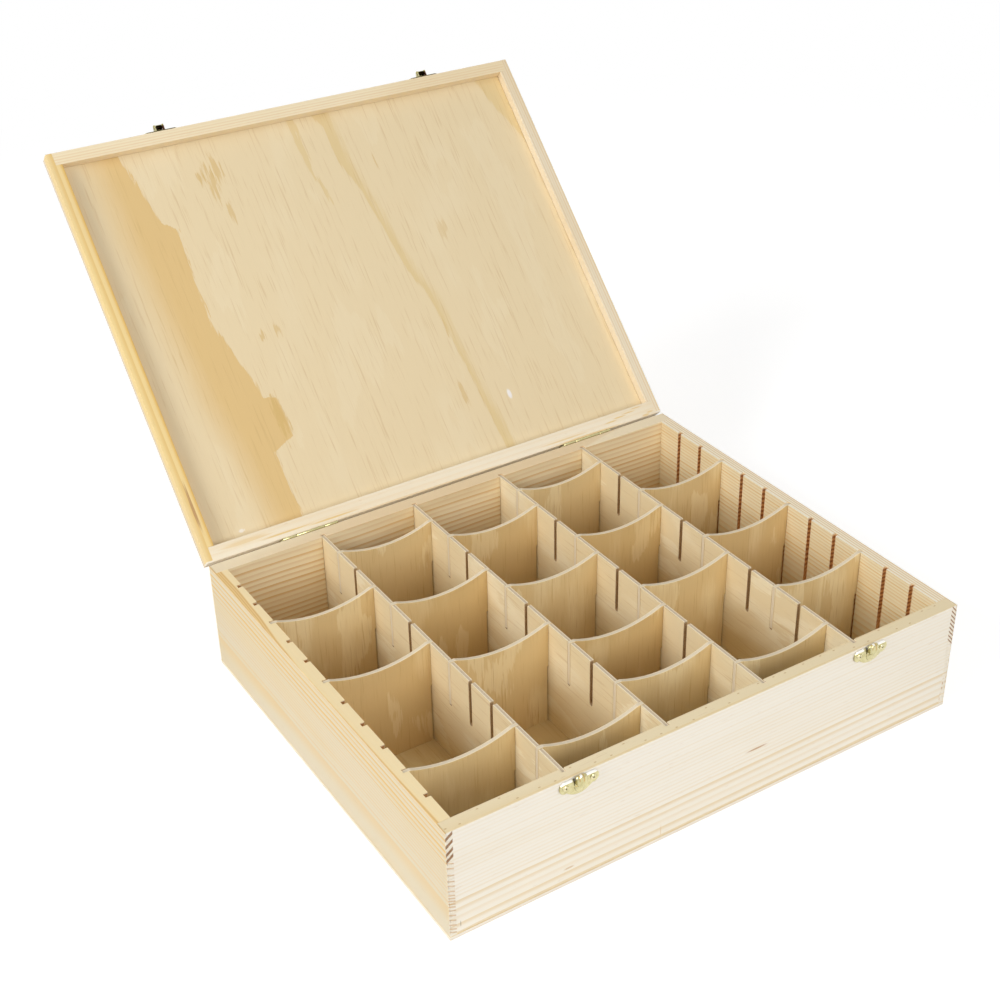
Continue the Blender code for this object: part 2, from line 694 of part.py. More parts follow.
def ear_loop():
    """Side view of an ear: upright near edge, a square corner by the pin and a sloping back."""
    near = STRIKE_RISE + EAR_SETBACK
    top = PIVOT_OUT + EAR_HEAD
    return [
        (PLATE_MIDDLE, near),
        (top - EAR_CORNER, near),
        (top, near + EAR_CORNER),
        (top, PIVOT_RISE + EAR_HEAD / 2),
        (PIVOT_OUT, PIVOT_RISE + EAR_HEAD),
        (PLATE_MIDDLE, PIVOT_RISE + EAR_FOOT),
    ]


def lever_plate_loop():
    """Front view of the lever, heights from its pivot: a neck between the ears and a wider body below."""
    neck = LEVER_NECK_WIDTH / 2 - TONGUE_INSET
    half = LEVER_WIDTH / 2
    top = -EAR_GAP
    shoulder = -LEVER_NECK_DROP
    corner = half - neck
    end = -PIVOT_RISE - LEVER_END_DROP
    right_shoulder = arc((neck, shoulder - corner), corner, 90, 0, 4)
    left_shoulder = arc((-neck, shoulder - corner), corner, 180, 90, 4)
    turns = [math.radians(-a) for a in range(0, 181, 20)]
    thumb = [(half * math.cos(t), end + LEVER_THUMB * math.sin(t)) for t in turns]
    return [(-neck, top), (neck, top)] + right_shoulder + thumb + left_shoulder


def build_catch(latch, centre_x):
    """The plate on the carcass with its hooked tongue."""
    catch = latch_plate(latch + "_catch", centre_x, -CATCH_TOP_DROP, CATCH_HEIGHT, -1, NO_SHIFT, None)
    combine(catch, side_view(latch + "_tongue", hook_loop(), HOOK_WIDTH, centre_x, NO_SHIFT, None), "UNION")
    dress_brass(catch)


def build_lever_plate(latch, centre_x, pivot):
    """The plate on the lid with two ears and the pin riveted in them."""
    plate = latch_plate(latch + "_lid_plate", centre_x, STRIKE_RISE, STRIKE_HEIGHT, 1, AXIS, lid)
    ear_x = (EAR_OUTSIDE - EAR_THICKNESS) / 2
    for s, label in ((-1, "_left_ear"), (1, "_right_ear")):
        ear = side_view(latch + label, ear_loop(), EAR_THICKNESS, centre_x + s * ear_x, AXIS, lid)
        combine(plate, ear, "UNION")
    length = EAR_OUTSIDE + 2 * RIVET_STAND

    def rivet(work):
        add_rod(work, pivot, LEVER_PIN_RADIUS, length, "X")

    shape_with(plate, latch + "_rivet", rivet, "UNION", lid)
    dress_brass(plate)


def build_lever(latch, pivot):
    """The lever, turning on the rivet: eye, plate and the lip that hooks under the nose."""
    axis = empty(latch + "_pivot", pivot, (-LEVER_OPEN, 0, 0), lid)
    face = LEVER_FACE_OUT - PIVOT_OUT
    place = (0, -face + LEVER_SHEET / 2, 0)
    lever = solid_outline(latch + "_lever", [lever_plate_loop()], LEVER_SHEET, place, UPRIGHT_ALONG_X, axis)
    lip_half = LEVER_WIDTH / 2 - LEVER_SHEET
    lip_low = -PIVOT_RISE - LEVER_END_DROP
    lip_outs = (LEVER_SHEET / 2 - face, PIVOT_OUT - LIP_INNER_OUT)

    def eye_and_lip(work):
        add_rod(work, (0, 0, 0), EYE_RADIUS, LEVER_NECK_WIDTH, "X", ROUND_SIDES)
        add_span(work, (-lip_half, lip_half), lip_outs, (lip_low, lip_low + LIP_THICKNESS))

    def bore(work):
        add_rod(work, (0, 0, 0), EYE_BORE_RADIUS, LEVER_NECK_WIDTH + 2 * CUT_OVER, "X")

    shape_with(lever, latch + "_eye_and_lip", eye_and_lip, "UNION", axis)
    shape_with(lever, latch + "_bore", bore, "DIFFERENCE", axis)
    dress_brass(lever)


for side, centre_x in zip(SIDE_NAMES, LATCH_CENTRES):
    pivot = Vector((centre_x, FRONT - PIVOT_OUT, RIM + PIVOT_RISE)) - AXIS
    build_catch("latch_" + side, centre_x)
    build_lever_plate("latch_" + side, centre_x, pivot)
    build_lever("latch_" + side, pivot)

lobe_offset = PLATE_WIDTH / 2 - LOBE_RADIUS
latch_screw_xs = [centre_x + s * lobe_offset for centre_x in LATCH_CENTRES for s in (-1, 1)]
front_seat = FRONT - GLUE_GAP - PLATE_THICKNESS - SCREW_CLEARANCE
catch_seats = [Vector((x, front_seat, RIM - CATCH_TOP_DROP - LOBE_RADIUS)) for x in latch_screw_xs]
lever_seats = [Vector((x, front_seat, RIM + STRIKE_RISE + LOBE_RADIUS)) - AXIS for x in latch_screw_xs]
for number, (catch_seat, lever_seat) in enumerate(zip(catch_seats, lever_seats), start=1):
    add_screw("latch_screw_box_%d" % number, catch_seat, -1)
    add_screw("latch_screw_lid_%d" % number, lever_seat, -1, lid)
shape_with(walls["front"], "front_wall_pilots", lambda work: pilot_holes(work, catch_seats, -1))
shape_with(rails["front"], "front_rail_pilots", lambda work: pilot_holes(work, lever_seats, -1), parent=lid)
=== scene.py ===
"""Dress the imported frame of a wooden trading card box.

Boards of solid pine make the carcass and the lid frame, plywood makes the panels and the divider grid, and
the hinges, latches and screws are polished brass. Lengths are metres, and millimetres inside materials.
"""
import json
import logging
import math
from dataclasses import dataclass, replace
from enum import Enum
from typing import Any, Callable, Optional, Sequence, Union

import bmesh
import bpy
from mathutils import Matrix, Vector


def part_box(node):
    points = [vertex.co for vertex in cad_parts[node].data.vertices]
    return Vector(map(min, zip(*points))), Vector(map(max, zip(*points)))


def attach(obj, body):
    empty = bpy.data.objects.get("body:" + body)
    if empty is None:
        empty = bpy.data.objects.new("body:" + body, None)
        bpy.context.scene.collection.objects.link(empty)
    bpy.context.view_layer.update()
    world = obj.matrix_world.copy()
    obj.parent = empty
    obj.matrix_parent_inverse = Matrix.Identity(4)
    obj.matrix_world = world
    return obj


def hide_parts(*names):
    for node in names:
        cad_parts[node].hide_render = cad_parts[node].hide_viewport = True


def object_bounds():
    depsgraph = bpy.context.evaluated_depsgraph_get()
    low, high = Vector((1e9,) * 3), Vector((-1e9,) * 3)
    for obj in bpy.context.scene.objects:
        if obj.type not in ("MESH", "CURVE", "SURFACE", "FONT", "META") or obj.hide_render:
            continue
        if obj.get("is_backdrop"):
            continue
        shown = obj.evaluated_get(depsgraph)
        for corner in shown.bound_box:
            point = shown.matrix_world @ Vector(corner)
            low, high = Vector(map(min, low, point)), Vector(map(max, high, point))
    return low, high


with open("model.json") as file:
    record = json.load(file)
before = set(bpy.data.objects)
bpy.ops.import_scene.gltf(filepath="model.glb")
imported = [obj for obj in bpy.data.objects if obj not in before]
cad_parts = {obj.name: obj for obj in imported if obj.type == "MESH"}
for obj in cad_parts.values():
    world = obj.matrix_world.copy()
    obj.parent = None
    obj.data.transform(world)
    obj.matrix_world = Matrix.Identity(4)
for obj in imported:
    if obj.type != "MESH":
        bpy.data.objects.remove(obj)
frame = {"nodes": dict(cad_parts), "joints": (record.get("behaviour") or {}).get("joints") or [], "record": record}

Colour = tuple[float, float, float]
Pair = tuple[float, float]
Curve = tuple[Pair, ...]
Loop = list[Pair]
Place = tuple[float, float, float]
# Painted light on a latch piece: the ranges, colour and strength of a painted highlight, reflection tone or shade.
PaintedLight = tuple[Loop, Colour, float]
log = logging.getLogger("card_box")

RIM = 0.0890
FRONT_FACE = -0.1710
BACK_FACE = 0.1710
GLUE_GAP = 0.0003
BACK_SWELL = 0.0012
GLUE_LINES = ((0, 0.2047, 0.20498), (1, 0.1602, 0.16048), (2, 0.0032, 0.00348))
SIDES = (-1, 1)
MM = 1000.0
RIM_MM = RIM * MM
WHITE = (1.0, 1.0, 1.0)


def frame_joint(name: str) -> dict[str, Any]:
    """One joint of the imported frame.

    Args:
        name: The joint's name.

    Returns:
        Its entry in the frame.
    """
    return next(joint for joint in frame["joints"] if joint["name"] == name)


LID_AXIS = Vector(frame_joint("lid_hinge")["pos_m"])
LID_TURN = math.radians(frame_joint("lid_hinge")["range_deg"][0])
LEVER_TURN = math.radians(frame_joint("lever_left_pivot")["range_deg"][0])


def turned_about(point: Vector, angle: float) -> Matrix:
    """A turn about an axis along X.

    Args:
        point: A point on the axis.
        angle: The turn in radians.

    Returns:
        The matrix of the turn.
    """
    return Matrix.Translation(point) @ Matrix.Rotation(angle, 4, "X") @ Matrix.Translation(-point)


LID_OPENED = turned_about(LID_AXIS, LID_TURN)


def arc(centre: Pair, radius: float, start: float, end: float, steps: int) -> Loop:
    """Points on an arc.

    Args:
        centre: Its centre.
        radius: Its radius.
        start: First angle in degrees.
        end: Last angle in degrees.
        steps: Spans between the points.

    Returns:
        The points.
    """
    turns = [math.radians(start + (end - start) * i / steps) for i in range(steps + 1)]
    return [(centre[0] + radius * math.cos(t), centre[1] + radius * math.sin(t)) for t in turns]


def circle(centre: Pair, radius: float, sides: int) -> Loop:
    """Points all the way round a centre.

    Args:
        centre: The centre.
        radius: The radius.
        sides: How many points.

    Returns:
        The points.
    """
    turns = [2 * math.pi * step / sides for step in range(sides)]
    return [(centre[0] + radius * math.cos(t), centre[1] + radius * math.sin(t)) for t in turns]


def flat_ring(work: bmesh.types.BMesh, loop: Loop, level: float, matrix: Matrix) -> list[bmesh.types.BMVert]:
    """Add the vertices of a flat outline at a level, placed by a matrix."""
    return [work.verts.new(matrix @ Vector((u, v, level))) for u, v in loop]


def join_rings(work: bmesh.types.BMesh, rings: Sequence[Sequence[bmesh.types.BMVert]]) -> None:
    """Put faces between neighbouring rings of a body.

    Args:
        work: The mesh.
        rings: The rings in order; one of a single vertex is a tip.
    """
    for lower, upper in zip(rings, rings[1:]):
        sides = max(len(lower), len(upper))
        for i in range(sides):
            j = (i + 1) % sides
            corners = [ring[k % len(ring)] for ring, k in ((lower, i), (lower, j), (upper, j), (upper, i))]
            work.faces.new(list(dict.fromkeys(corners)))


def node_operator(operation: str, reflected: bool = False) -> Callable[["Signal", "Operand"], "Signal"]:
    """Make one of Signal's operators, which adds a Math node.

    Args:
        operation: The node's operation.
        reflected: Whether the other number comes first.

    Returns:
        The operator.
    """

    def method(this: "Signal", other: "Operand") -> "Signal":
        """Add the node and give its result."""
        return this.calculated(operation, *((other, this) if reflected else (this, other)))

    return method


class Signal:
    """A number that varies over a surface; Python's operators add the Math nodes."""

    __add__ = node_operator("ADD")
    __radd__ = node_operator("ADD", True)
    __sub__ = node_operator("SUBTRACT")
    __rsub__ = node_operator("SUBTRACT", True)
    __mul__ = node_operator("MULTIPLY")
    __rmul__ = node_operator("MULTIPLY", True)
    __truediv__ = node_operator("DIVIDE")
    __rtruediv__ = node_operator("DIVIDE", True)
    __gt__ = node_operator("GREATER_THAN")
    __lt__ = node_operator("GREATER_THAN", True)
    most = node_operator("MAXIMUM")

    def __init__(self, graph: "Graph", socket: bpy.types.NodeSocket) -> None:
        """Wrap a socket.

        Args:
            graph: The graph that the socket belongs to.
            socket: An output with one number.
        """
        self.graph = graph
        self.socket = socket

    def calculated(self, operation: str, *operands: "Operand") -> "Signal":
        """Add one Math node.

        Args:
            operation: The node's operation.
            operands: Its inputs in order.

        Returns:
            Its result.
        """
        made = self.graph.node("ShaderNodeMath", {"operation": operation}, dict(enumerate(operands)))
        return Signal(self.graph, made.outputs[0])

    def __abs__(self) -> "Signal":
        """Size without sign."""
        return self.calculated("ABSOLUTE", self)

    def root(self) -> "Signal":
        """Square root."""
        return self.calculated("SQRT", self)

    def fraction(self) -> "Signal":
        """Part after the point."""
        return self.calculated("FRACT", self)

    def whole(self) -> "Signal":
        """Whole number below."""
        return self.calculated("FLOOR", self)

    def rise(self, low: float, high: float) -> "Signal":
        """Smooth step.

        Args:
            low: Where it leaves 0; may be above high for a fall.
            high: Where it reaches 1.

        Returns:
            A mask from 0 to 1.
        """
        ends = {"From Min": low, "From Max": high} if low < high else {"From Min": high, "From Max": low}
        settings = {"interpolation_type": "SMOOTHSTEP", "clamp": True}
        made = self.graph.node("ShaderNodeMapRange", settings, {"Value": self, **ends})
        result = Signal(self.graph, made.outputs[0])
        return result if low < high else 1 - result

    def follow(self, points: Sequence[Pair]) -> "Signal":
        """Straight-line function through points.

        Args:
            points: Pairs of argument and value, arguments rising.

        Returns:
            The value at this number.
        """
        low, high = points[0][0], points[-1][0]
        bottom = min(value for _, value in points)
        top = max(value for _, value in points)
        span = (top - bottom) or 1.0
        knots = [((at - low) / (high - low), (value - bottom) / span) for at, value in points]
        share = (self - low) / (high - low)
        made = self.graph.node("ShaderNodeFloatCurve", {"knots": knots}, {"Value": share})
        return Signal(self.graph, made.outputs[0]) * span + bottom


Operand = Union[Signal, float]
Linkable = Union[Signal, bpy.types.NodeSocket, float, Sequence[float]]


class Graph:
    """The nodes of one material or of the world."""

    def __init__(self, owner: Union[bpy.types.Material, bpy.types.World]) -> None:
        """Start with an empty tree.

        Args:
            owner: What the nodes belong to.
        """
        owner.use_nodes = True
        self.owner = owner
        self.tree = owner.node_tree
        self.tree.nodes.clear()

    @classmethod
    def named(cls, name: str) -> "Graph":
        """A graph in a new material."""
        return cls(bpy.data.materials.new(name))

    def node(
        self,
        kind: str,
        settings: Optional[dict[str, Any]] = None,
        inputs: Optional[dict[Union[str, int], Linkable]] = None,
    ) -> bpy.types.Node:
        """Add a node.

        Args:
            kind: The node's type.
            settings: Its own settings, a ramp's stops or a curve's knots among them.
            inputs: Values or links by socket name or number.

        Returns:
            The node.
        """
        made = self.tree.nodes.new(kind)
        for name, value in (settings or {}).items():
            if name == "stops":
                self._set_stops(made, value)
            elif name == "knots":
                self._set_knots(made, value)
            else:
                setattr(made, name, value)
        for key, value in (inputs or {}).items():
            socket = made.inputs[key]
            if isinstance(value, Signal):
                self.tree.links.new(value.socket, socket)
            elif isinstance(value, bpy.types.NodeSocket):
                self.tree.links.new(value, socket)
            elif socket.type == "RGBA" and len(value) == 3:
                socket.default_value = (*value, 1.0)
            else:
                socket.default_value = value
        return made

    @staticmethod
    def _set_stops(made: bpy.types.Node, stops: Sequence[tuple[float, Colour]]) -> None:
        """Fill a colour ramp.

        Args:
            made: The ramp.
            stops: Pairs of place and colour.
        """
        ramp = made.color_ramp
        while len(ramp.elements) < len(stops):
            ramp.elements.new(0.5)
        for element, (place, colour) in zip(ramp.elements, stops):
            element.position = place
            element.color = (*colour, 1.0)

    @staticmethod
    def _set_knots(made: bpy.types.Node, knots: Sequence[Pair]) -> None:
        """Fill a curve with straight stretches.

        Args:
            made: The curve node.
            knots: Points from 0 to 1, in order.
        """
        curve = made.mapping.curves[0]
        curve.points[0].location = knots[0]
        curve.points[1].location = knots[-1]
        for knot in knots[1:-1]:
            curve.points.new(*knot)
        for point in curve.points:
            point.handle_type = "VECTOR"
        made.mapping.update()

    def place(self) -> tuple[Signal, Signal, Signal]:
        """Where a point of the piece lies, in millimetres of the closed box.

        Returns:
            X, Y and Z.
        """
        source = self.node("ShaderNodeTexCoord").outputs["Object"]
        parts = self.node("ShaderNodeSeparateXYZ", {}, {0: source}).outputs
        return tuple(Signal(self, part) * MM for part in parts)

    def chance(self, number: Operand) -> Signal:
        """A random value from 0 to 1 for each whole number.

        Args:
            number: The number.

        Returns:
            Its value.
        """
        made = self.node("ShaderNodeTexWhiteNoise", {"noise_dimensions": "1D"}, {"W": number})
        return Signal(self, made.outputs[0])

    def blend(
        self, share: Operand, first: Linkable, second: Linkable, mode: str = "MIX"
    ) -> bpy.types.NodeSocket:
        """Mix two colours.

        Args:
            share: How much of the second.
            first: First colour.
            second: Second colour.
            mode: The way of mixing.

        Returns:
            The mixed colour.
        """
        settings = {"data_type": "RGBA", "blend_type": mode, "clamp_factor": True}
        return self.node("ShaderNodeMix", settings, {0: share, 6: first, 7: second}).outputs[2]


@dataclass(frozen=True)
class Noise:
    """A layer of smooth noise about 0.5: its blobs per millimetre on three axes, octaves and roughness."""

    scales: Place
    detail: float = 2.0
    rough: float = 0.5
    seeded: int = 0

    def on(self, graph: Graph, place: Sequence[Signal], seed: float = 0.0) -> Signal:
        """Add the layer to a material.

        Args:
            graph: The material's graph.
            place: Millimetres on the three axes.
            seed: Shifts the noise along the seeded axis.

        Returns:
            The noise.
        """
        at = [part * scale for part, scale in zip(place, self.scales)]
        at[self.seeded] = at[self.seeded] + seed
        vector = graph.node("ShaderNodeCombineXYZ", {}, dict(enumerate(at))).outputs[0]
        inputs = {"Vector": vector, "Scale": 1.0, "Detail": self.detail, "Roughness": self.rough}
        return Signal(graph, graph.node("ShaderNodeTexNoise", {}, inputs).outputs[0])


class Canvas:
    """The colour of one material while it is built up, over X, Y and Z in millimetres of the closed box."""

    def __init__(self, name: str, colour: Linkable) -> None:
        """Start a material.

        Args:
            name: The material's name.
            colour: Its ground colour.
        """
        self.graph = Graph.named(name)
        self.place = self.graph.place()
        self.colour = colour

    def lay(self, share: Operand, colour: Linkable, mode: str = "MIX") -> None:
        """Lay another colour over the present one.

        Args:
            share: How much of it.
            colour: The other colour.
            mode: The way of mixing.
        """
        self.colour = self.graph.blend(share, self.colour, colour, mode)

    def shade(self, level: Signal) -> None:
        """Make the colour lighter or darker; a level of 1 keeps it."""
        inputs = {0: self.colour, "Scale": level}
        self.colour = self.graph.node("ShaderNodeVectorMath", {"operation": "SCALE"}, inputs).outputs[0]

    def close(
        self, roughness: Operand, relief: Signal, relief_mm: float, **fixed: float
    ) -> bpy.types.Material:
        """Close the material with a Principled shader.

        Args:
            roughness: Its roughness.
            relief: Its relief from 0 to 1.
            relief_mm: What a relief of 1 stands for.
            fixed: Numbers for other sockets, by name with _ for a space.

        Returns:
            The material.
        """
        bump = {"Height": relief, "Distance": relief_mm / MM, "Strength": 1.0}
        normal = self.graph.node("ShaderNodeBump", {}, bump).outputs[0]
        inputs = {"Base Color": self.colour, "Roughness": roughness, "Normal": normal}
        inputs.update({name.replace("_", " "): value for name, value in fixed.items()})
        shader = self.graph.node("ShaderNodeBsdfPrincipled", {}, inputs)
        self.graph.node("ShaderNodeOutputMaterial", {}, {0: shader.outputs[0]})
        return self.graph.owner


class Lie(Enum):
    """How a board lies in the closed box: its axes along the fibres, across them and through the board."""

    ALONG_X = (0, 2, 1)
    ALONG_Y = (1, 2, 0)
    UPRIGHT = (2, 0, 1)
    FLAT_Y = (1, 0, 2)

    def order(self, place: Sequence[Signal]) -> list[Signal]:
        """Put X, Y and Z in the board's own order."""
        return [place[axis] for axis in self.value]


@dataclass(frozen=True)
class Mark:
    """A streak, fleck or patch of another colour in the wood, in millimetres of the closed box."""

    centre: Place
    half: Place
    colour: Colour
    strength: float = 0.8
    ragged: float = 0.25

    def lay(self, canvas: Canvas, rough: Signal) -> None:
        """Lay the mark over a material's colour.

        Args:
            canvas: The material.
            rough: Noise about 0.5 that breaks up its edge.
        """
        terms = [(at - middle) / half for at, middle, half in zip(canvas.place, self.centre, self.half)]
        reach = (terms[0] * terms[0] + terms[1] * terms[1] + terms[2] * terms[2]).root()
        mask = (reach + (rough - 0.5) * self.ragged * 4).rise(1.0, 0.45) * self.strength
        canvas.lay(mask, self.colour)


@dataclass(frozen=True)
class Comb:
    """Slanting dark brown bars near the rim and thin lines below them, on one corner joint of the front face."""

    side: float
    slant: float
    dark_bars: tuple[float, ...]
    half: float
    lines: tuple[float, ...] = ()
    strip_mm: float = 205.0
    middle_mm: float = 2.5
    face_mm: float = -170.7
    line_slant: float = -0.43
    line_half: float = 0.30
    soft: float = 0.45
    luck: Noise = Noise((0.3, 0.21, 0.0), 2.0, 0.6, 1)
    # Colour of the slanting dark brown bars.
    cut: Colour = (0.31, 0.155, 0.06)
    line: Colour = (0.66, 0.40, 0.18)

    def _bars(self, levels: Sequence[float], half: float) -> Loop:
        """A curve that is 1 at some levels and 0 between them.

        Args:
            levels: Heights of the bars.
            half: Half the height of one.

        Returns:
            The curve's points.
        """
        points = [(-2.0, 0.0)]
        for level in sorted(levels):
            points += [(level - half - self.soft, 0.0), (level - half, 1.0)]
            points += [(level + half, 1.0), (level + half + self.soft, 0.0)]
        return points + [(93.0, 0.0)]

    def lay(self, canvas: Canvas) -> None:
        """Lay the dark bars and lines over a material's colour.

        Args:
            canvas: The material.
        """
        x, y, z = canvas.place
        beyond = x * self.side - self.strip_mm
        strip = beyond.rise(-0.3, 0.2) * y.rise(self.face_mm, self.face_mm - 0.2)
        luck = self.luck.on(canvas.graph, (beyond, z, z), self.side * 7.0)
        offset = beyond - self.middle_mm
        dark_bars = (z + offset * self.slant).follow(self._bars(self.dark_bars, self.half)) * (0.7 + luck * 0.6)
        canvas.lay(dark_bars * strip * 0.95, self.cut)
        if self.lines:
            lines = (z + offset * self.line_slant).follow(self._bars(self.lines, self.line_half))
            canvas.lay(lines * (0.5 + luck * 0.8) * strip * 0.8, self.line)


@dataclass(frozen=True)
class Pine:
    """Solid pine with growth rings round a pith line that may lie outside the board."""

    lie: Lie
    pith_mm: Pair
    years: Curve
    early: Colour = (0.86, 0.74, 0.56)
    late: Colour = (0.76, 0.52, 0.24)
    warm: Colour = (0.80, 0.62, 0.36)
    resin: Colour = (0.55, 0.33, 0.14)
    bold: Curve = ((0.0, 0.5), (100.0, 0.5))
    wander_mm: float = 2.0
    warmth: float = 0.35
    seed: float = 0.0
    slow: Noise = Noise((0.0045, 0.014, 0.03), 2.0, 0.4, 0)
    swirl: Noise = Noise((0.02, 0.05, 0.05), 2.0, 0.5, 2)
    fibre: Noise = Noise((0.035, 2.2, 2.2), 3.0, 0.6, 1)
    broad: Noise = Noise((0.006, 0.03, 0.03), 1.0, 0.5, 2)
    canals: Noise = Noise((0.11, 1.5, 1.5), 1.0, 0.5, 2)
    speck: Noise = Noise((1.0, 1.1, 1.3), 2.0, 0.6)
    specular: float = 0.32
    relief_mm: float = 0.045
    end_mm: Optional[float] = None
    end_tones: tuple[Colour, Colour] = ((0.89, 0.81, 0.67), (0.93, 0.87, 0.75))
    groove_mm: Optional[Pair] = None
    groove_fade: float = 1.2
    groove_tones: tuple[Colour, Colour] = ((0.85, 0.53, 0.23), (0.70, 0.37, 0.12))
    burnt: Colour = (0.45, 0.18, 0.05)
    rib_pitch_mm: float = 3.6
    # Multiplies the inner face: painted shade, darker and warmer, for the inside of the box.
    inner_shade: Colour = (0.97, 0.93, 0.82)
    rim_tint: Optional[Colour] = None
    rim_pale: Colour = (0.93, 0.83, 0.66)
    rim_plain: float = 0.0
    rim_lines: Curve = ()
    rim_line: Colour = (0.82, 0.56, 0.26)
    rim_band: Curve = ()
    ochre: tuple[Colour, Colour] = ((0.88, 0.62, 0.27), (0.75, 0.46, 0.16))
    rim_dots: bool = False
    dot: Colour = (0.55, 0.34, 0.10)
    dot_pitch_mm: float = 13.5
    combs: tuple[Comb, ...] = ()
    marks: tuple[Mark, ...] = ()

    def material(self, name: str) -> bpy.types.Material:
        """Make the material.

        Args:
            name: Its name.

        Returns:
            The material.
        """
        canvas = Canvas(name, self.early)
        lying = self.lie.order(canvas.place)
        _, across, through = lying
        layers = (self.slow, self.swirl, self.fibre, self.broad, self.canals)
        slow, swirl, fibre, broad, canals = (layer.on(canvas.graph, lying, self.seed) for layer in layers)
        wander = self.wander_mm
        rise = across - self.pith_mm[0] + (slow - 0.5) * wander * 4 + (swirl - 0.5) * wander * 0.5
        depth = through - self.pith_mm[1]
        rings = (rise * rise + depth * depth).root().follow(self.years) + (fibre - 0.5) * 0.12
        phase = rings.fraction()
        late = phase.rise(0.30, 0.86) * phase.rise(1.0, 0.93)
        bold = across.follow(self.bold) * (0.45 + canvas.graph.chance(rings.whole()) * 0.75)
        canvas.lay(broad.rise(0.42, 0.66) * self.warmth, self.warm)
        canvas.lay(late * bold, self.late)
        canvas.lay(canals.rise(0.70, 0.80) * 0.28, self.resin)
        if self.end_mm is not None:
            self._end_grain(canvas, lying)
        if self.rim_tint is not None:
            self._rim(canvas, slow)
        if self.groove_mm is not None:
            self._grooves(canvas, lying, late, slow)
        for comb in self.combs:
            comb.lay(canvas)
        if self.rim_dots:
            self._dots(canvas)
        for mark in self.marks:
            mark.lay(canvas, fibre)
        canvas.shade(0.965 + fibre * 0.07)
        roughness = 0.52 + fibre * 0.12 - late * 0.06
        relief = fibre * 0.6 + late * 0.4
        return canvas.close(roughness, relief, self.relief_mm, Specular_IOR_Level=self.specular)

    def _end_grain(self, canvas: Canvas, lying: Sequence[Signal]) -> None:
        """The speckled ends of a board, which show in the comb joints.

        Args:
            canvas: The material.
            lying: Millimetres along, across and through the board.
        """
        end = abs(lying[0]).rise(self.end_mm - 0.25, self.end_mm - 0.05)
        speck = self.speck.on(canvas.graph, lying).rise(0.35, 0.65)
        canvas.lay(end * 0.85, canvas.graph.blend(speck, *self.end_tones))

    def _grooves(self, canvas: Canvas, lying: Sequence[Signal], late: Signal, slow: Signal) -> None:
        """The inner face of a wall, darkened and warmed as painted shade for the inside of the box, and its sawn
        grooves with the ribs that the saw burnt.

        Args:
            canvas: The material.
            lying: Millimetres along, across and through the board.
            late: Where the dark part of a growth ring is.
            slow: Noise about 0.5 that makes the ribs wander.
        """
        off = abs(lying[2])
        height = canvas.place[2]
        low, high = self.groove_mm
        # Painted shade on the inner face.
        canvas.lay(off.rise(low + 0.02, low - 0.02), self.inner_shade, "MULTIPLY")
        inside = off.rise(low + 0.05, low + 0.5) * off.rise(high + 0.6, high + 0.2)
        below = height.rise(RIM_MM - 0.3, RIM_MM - self.groove_fade)
        ribs = (height / self.rib_pitch_mm + lying[0] * 0.22 + slow * 5.0).fraction()
        ribs = ribs.rise(0.30, 0.55) * ribs.rise(1.0, 0.85) * height.rise(34.0, 52.0)
        plain = canvas.graph.blend(late, *self.groove_tones)
        canvas.lay(inside * below * 0.9, canvas.graph.blend(ribs, plain, self.burnt))

    def _rim(self, canvas: Canvas, slow: Signal) -> None:
        """The top face of a wall: paler wood, fine lines and an ochre band along the outer arris.

        Args:
            canvas: The material.
            slow: Noise about 0.5 that makes the lines wander.
        """
        x, y, z = canvas.place
        on_top = z.rise(RIM_MM - 0.30, RIM_MM - 0.12)
        canvas.lay(on_top, self.rim_tint, "MULTIPLY")
        canvas.lay(on_top * self.rim_plain, self.rim_pale)
        out = abs(x)
        if self.rim_lines:
            lines = (out + (slow - 0.5) * 3.0).follow(self.rim_lines)
            canvas.lay(lines * on_top * 0.7, self.rim_line)
        if self.rim_band:
            depth = out - y.follow(self.rim_band) + (slow - 0.5) * 2.0
            ochre = canvas.graph.blend((depth / 1.7).fraction().rise(0.25, 0.6), *self.ochre)
            canvas.lay(depth.rise(-0.2, 0.5) * on_top * 0.85, ochre)

    def _dots(self, canvas: Canvas) -> None:
        """Small resin dots in two rows along the front rim.

        Args:
            canvas: The material.
        """
        x, y, z = canvas.place
        pitch = self.dot_pitch_mm
        cell = (x / pitch).whole()
        luck = canvas.graph.chance(cell)
        x_off = x - (cell + 0.3 + luck * 0.4) * pitch
        y_off = y + 168.5 - (canvas.graph.chance(cell + 71.0) > 0.5) * 5.0 - luck * 1.2
        reach = (x_off * x_off * 0.45 + y_off * y_off * 1.6).root()
        high = z.rise(RIM_MM - 1.0, RIM_MM - 0.2)
        canvas.lay(reach.rise(0.85, 0.45) * high * 0.6, self.dot)


@dataclass(frozen=True)
class Zone:
    """A darker streak in a rotary-cut veneer, bounded by two lines along the grain."""

    low_edge: Curve
    high_edge: Curve
    low_feather: float
    high_feather: float
    strength: float
    colour: Colour = (0.72, 0.52, 0.20)


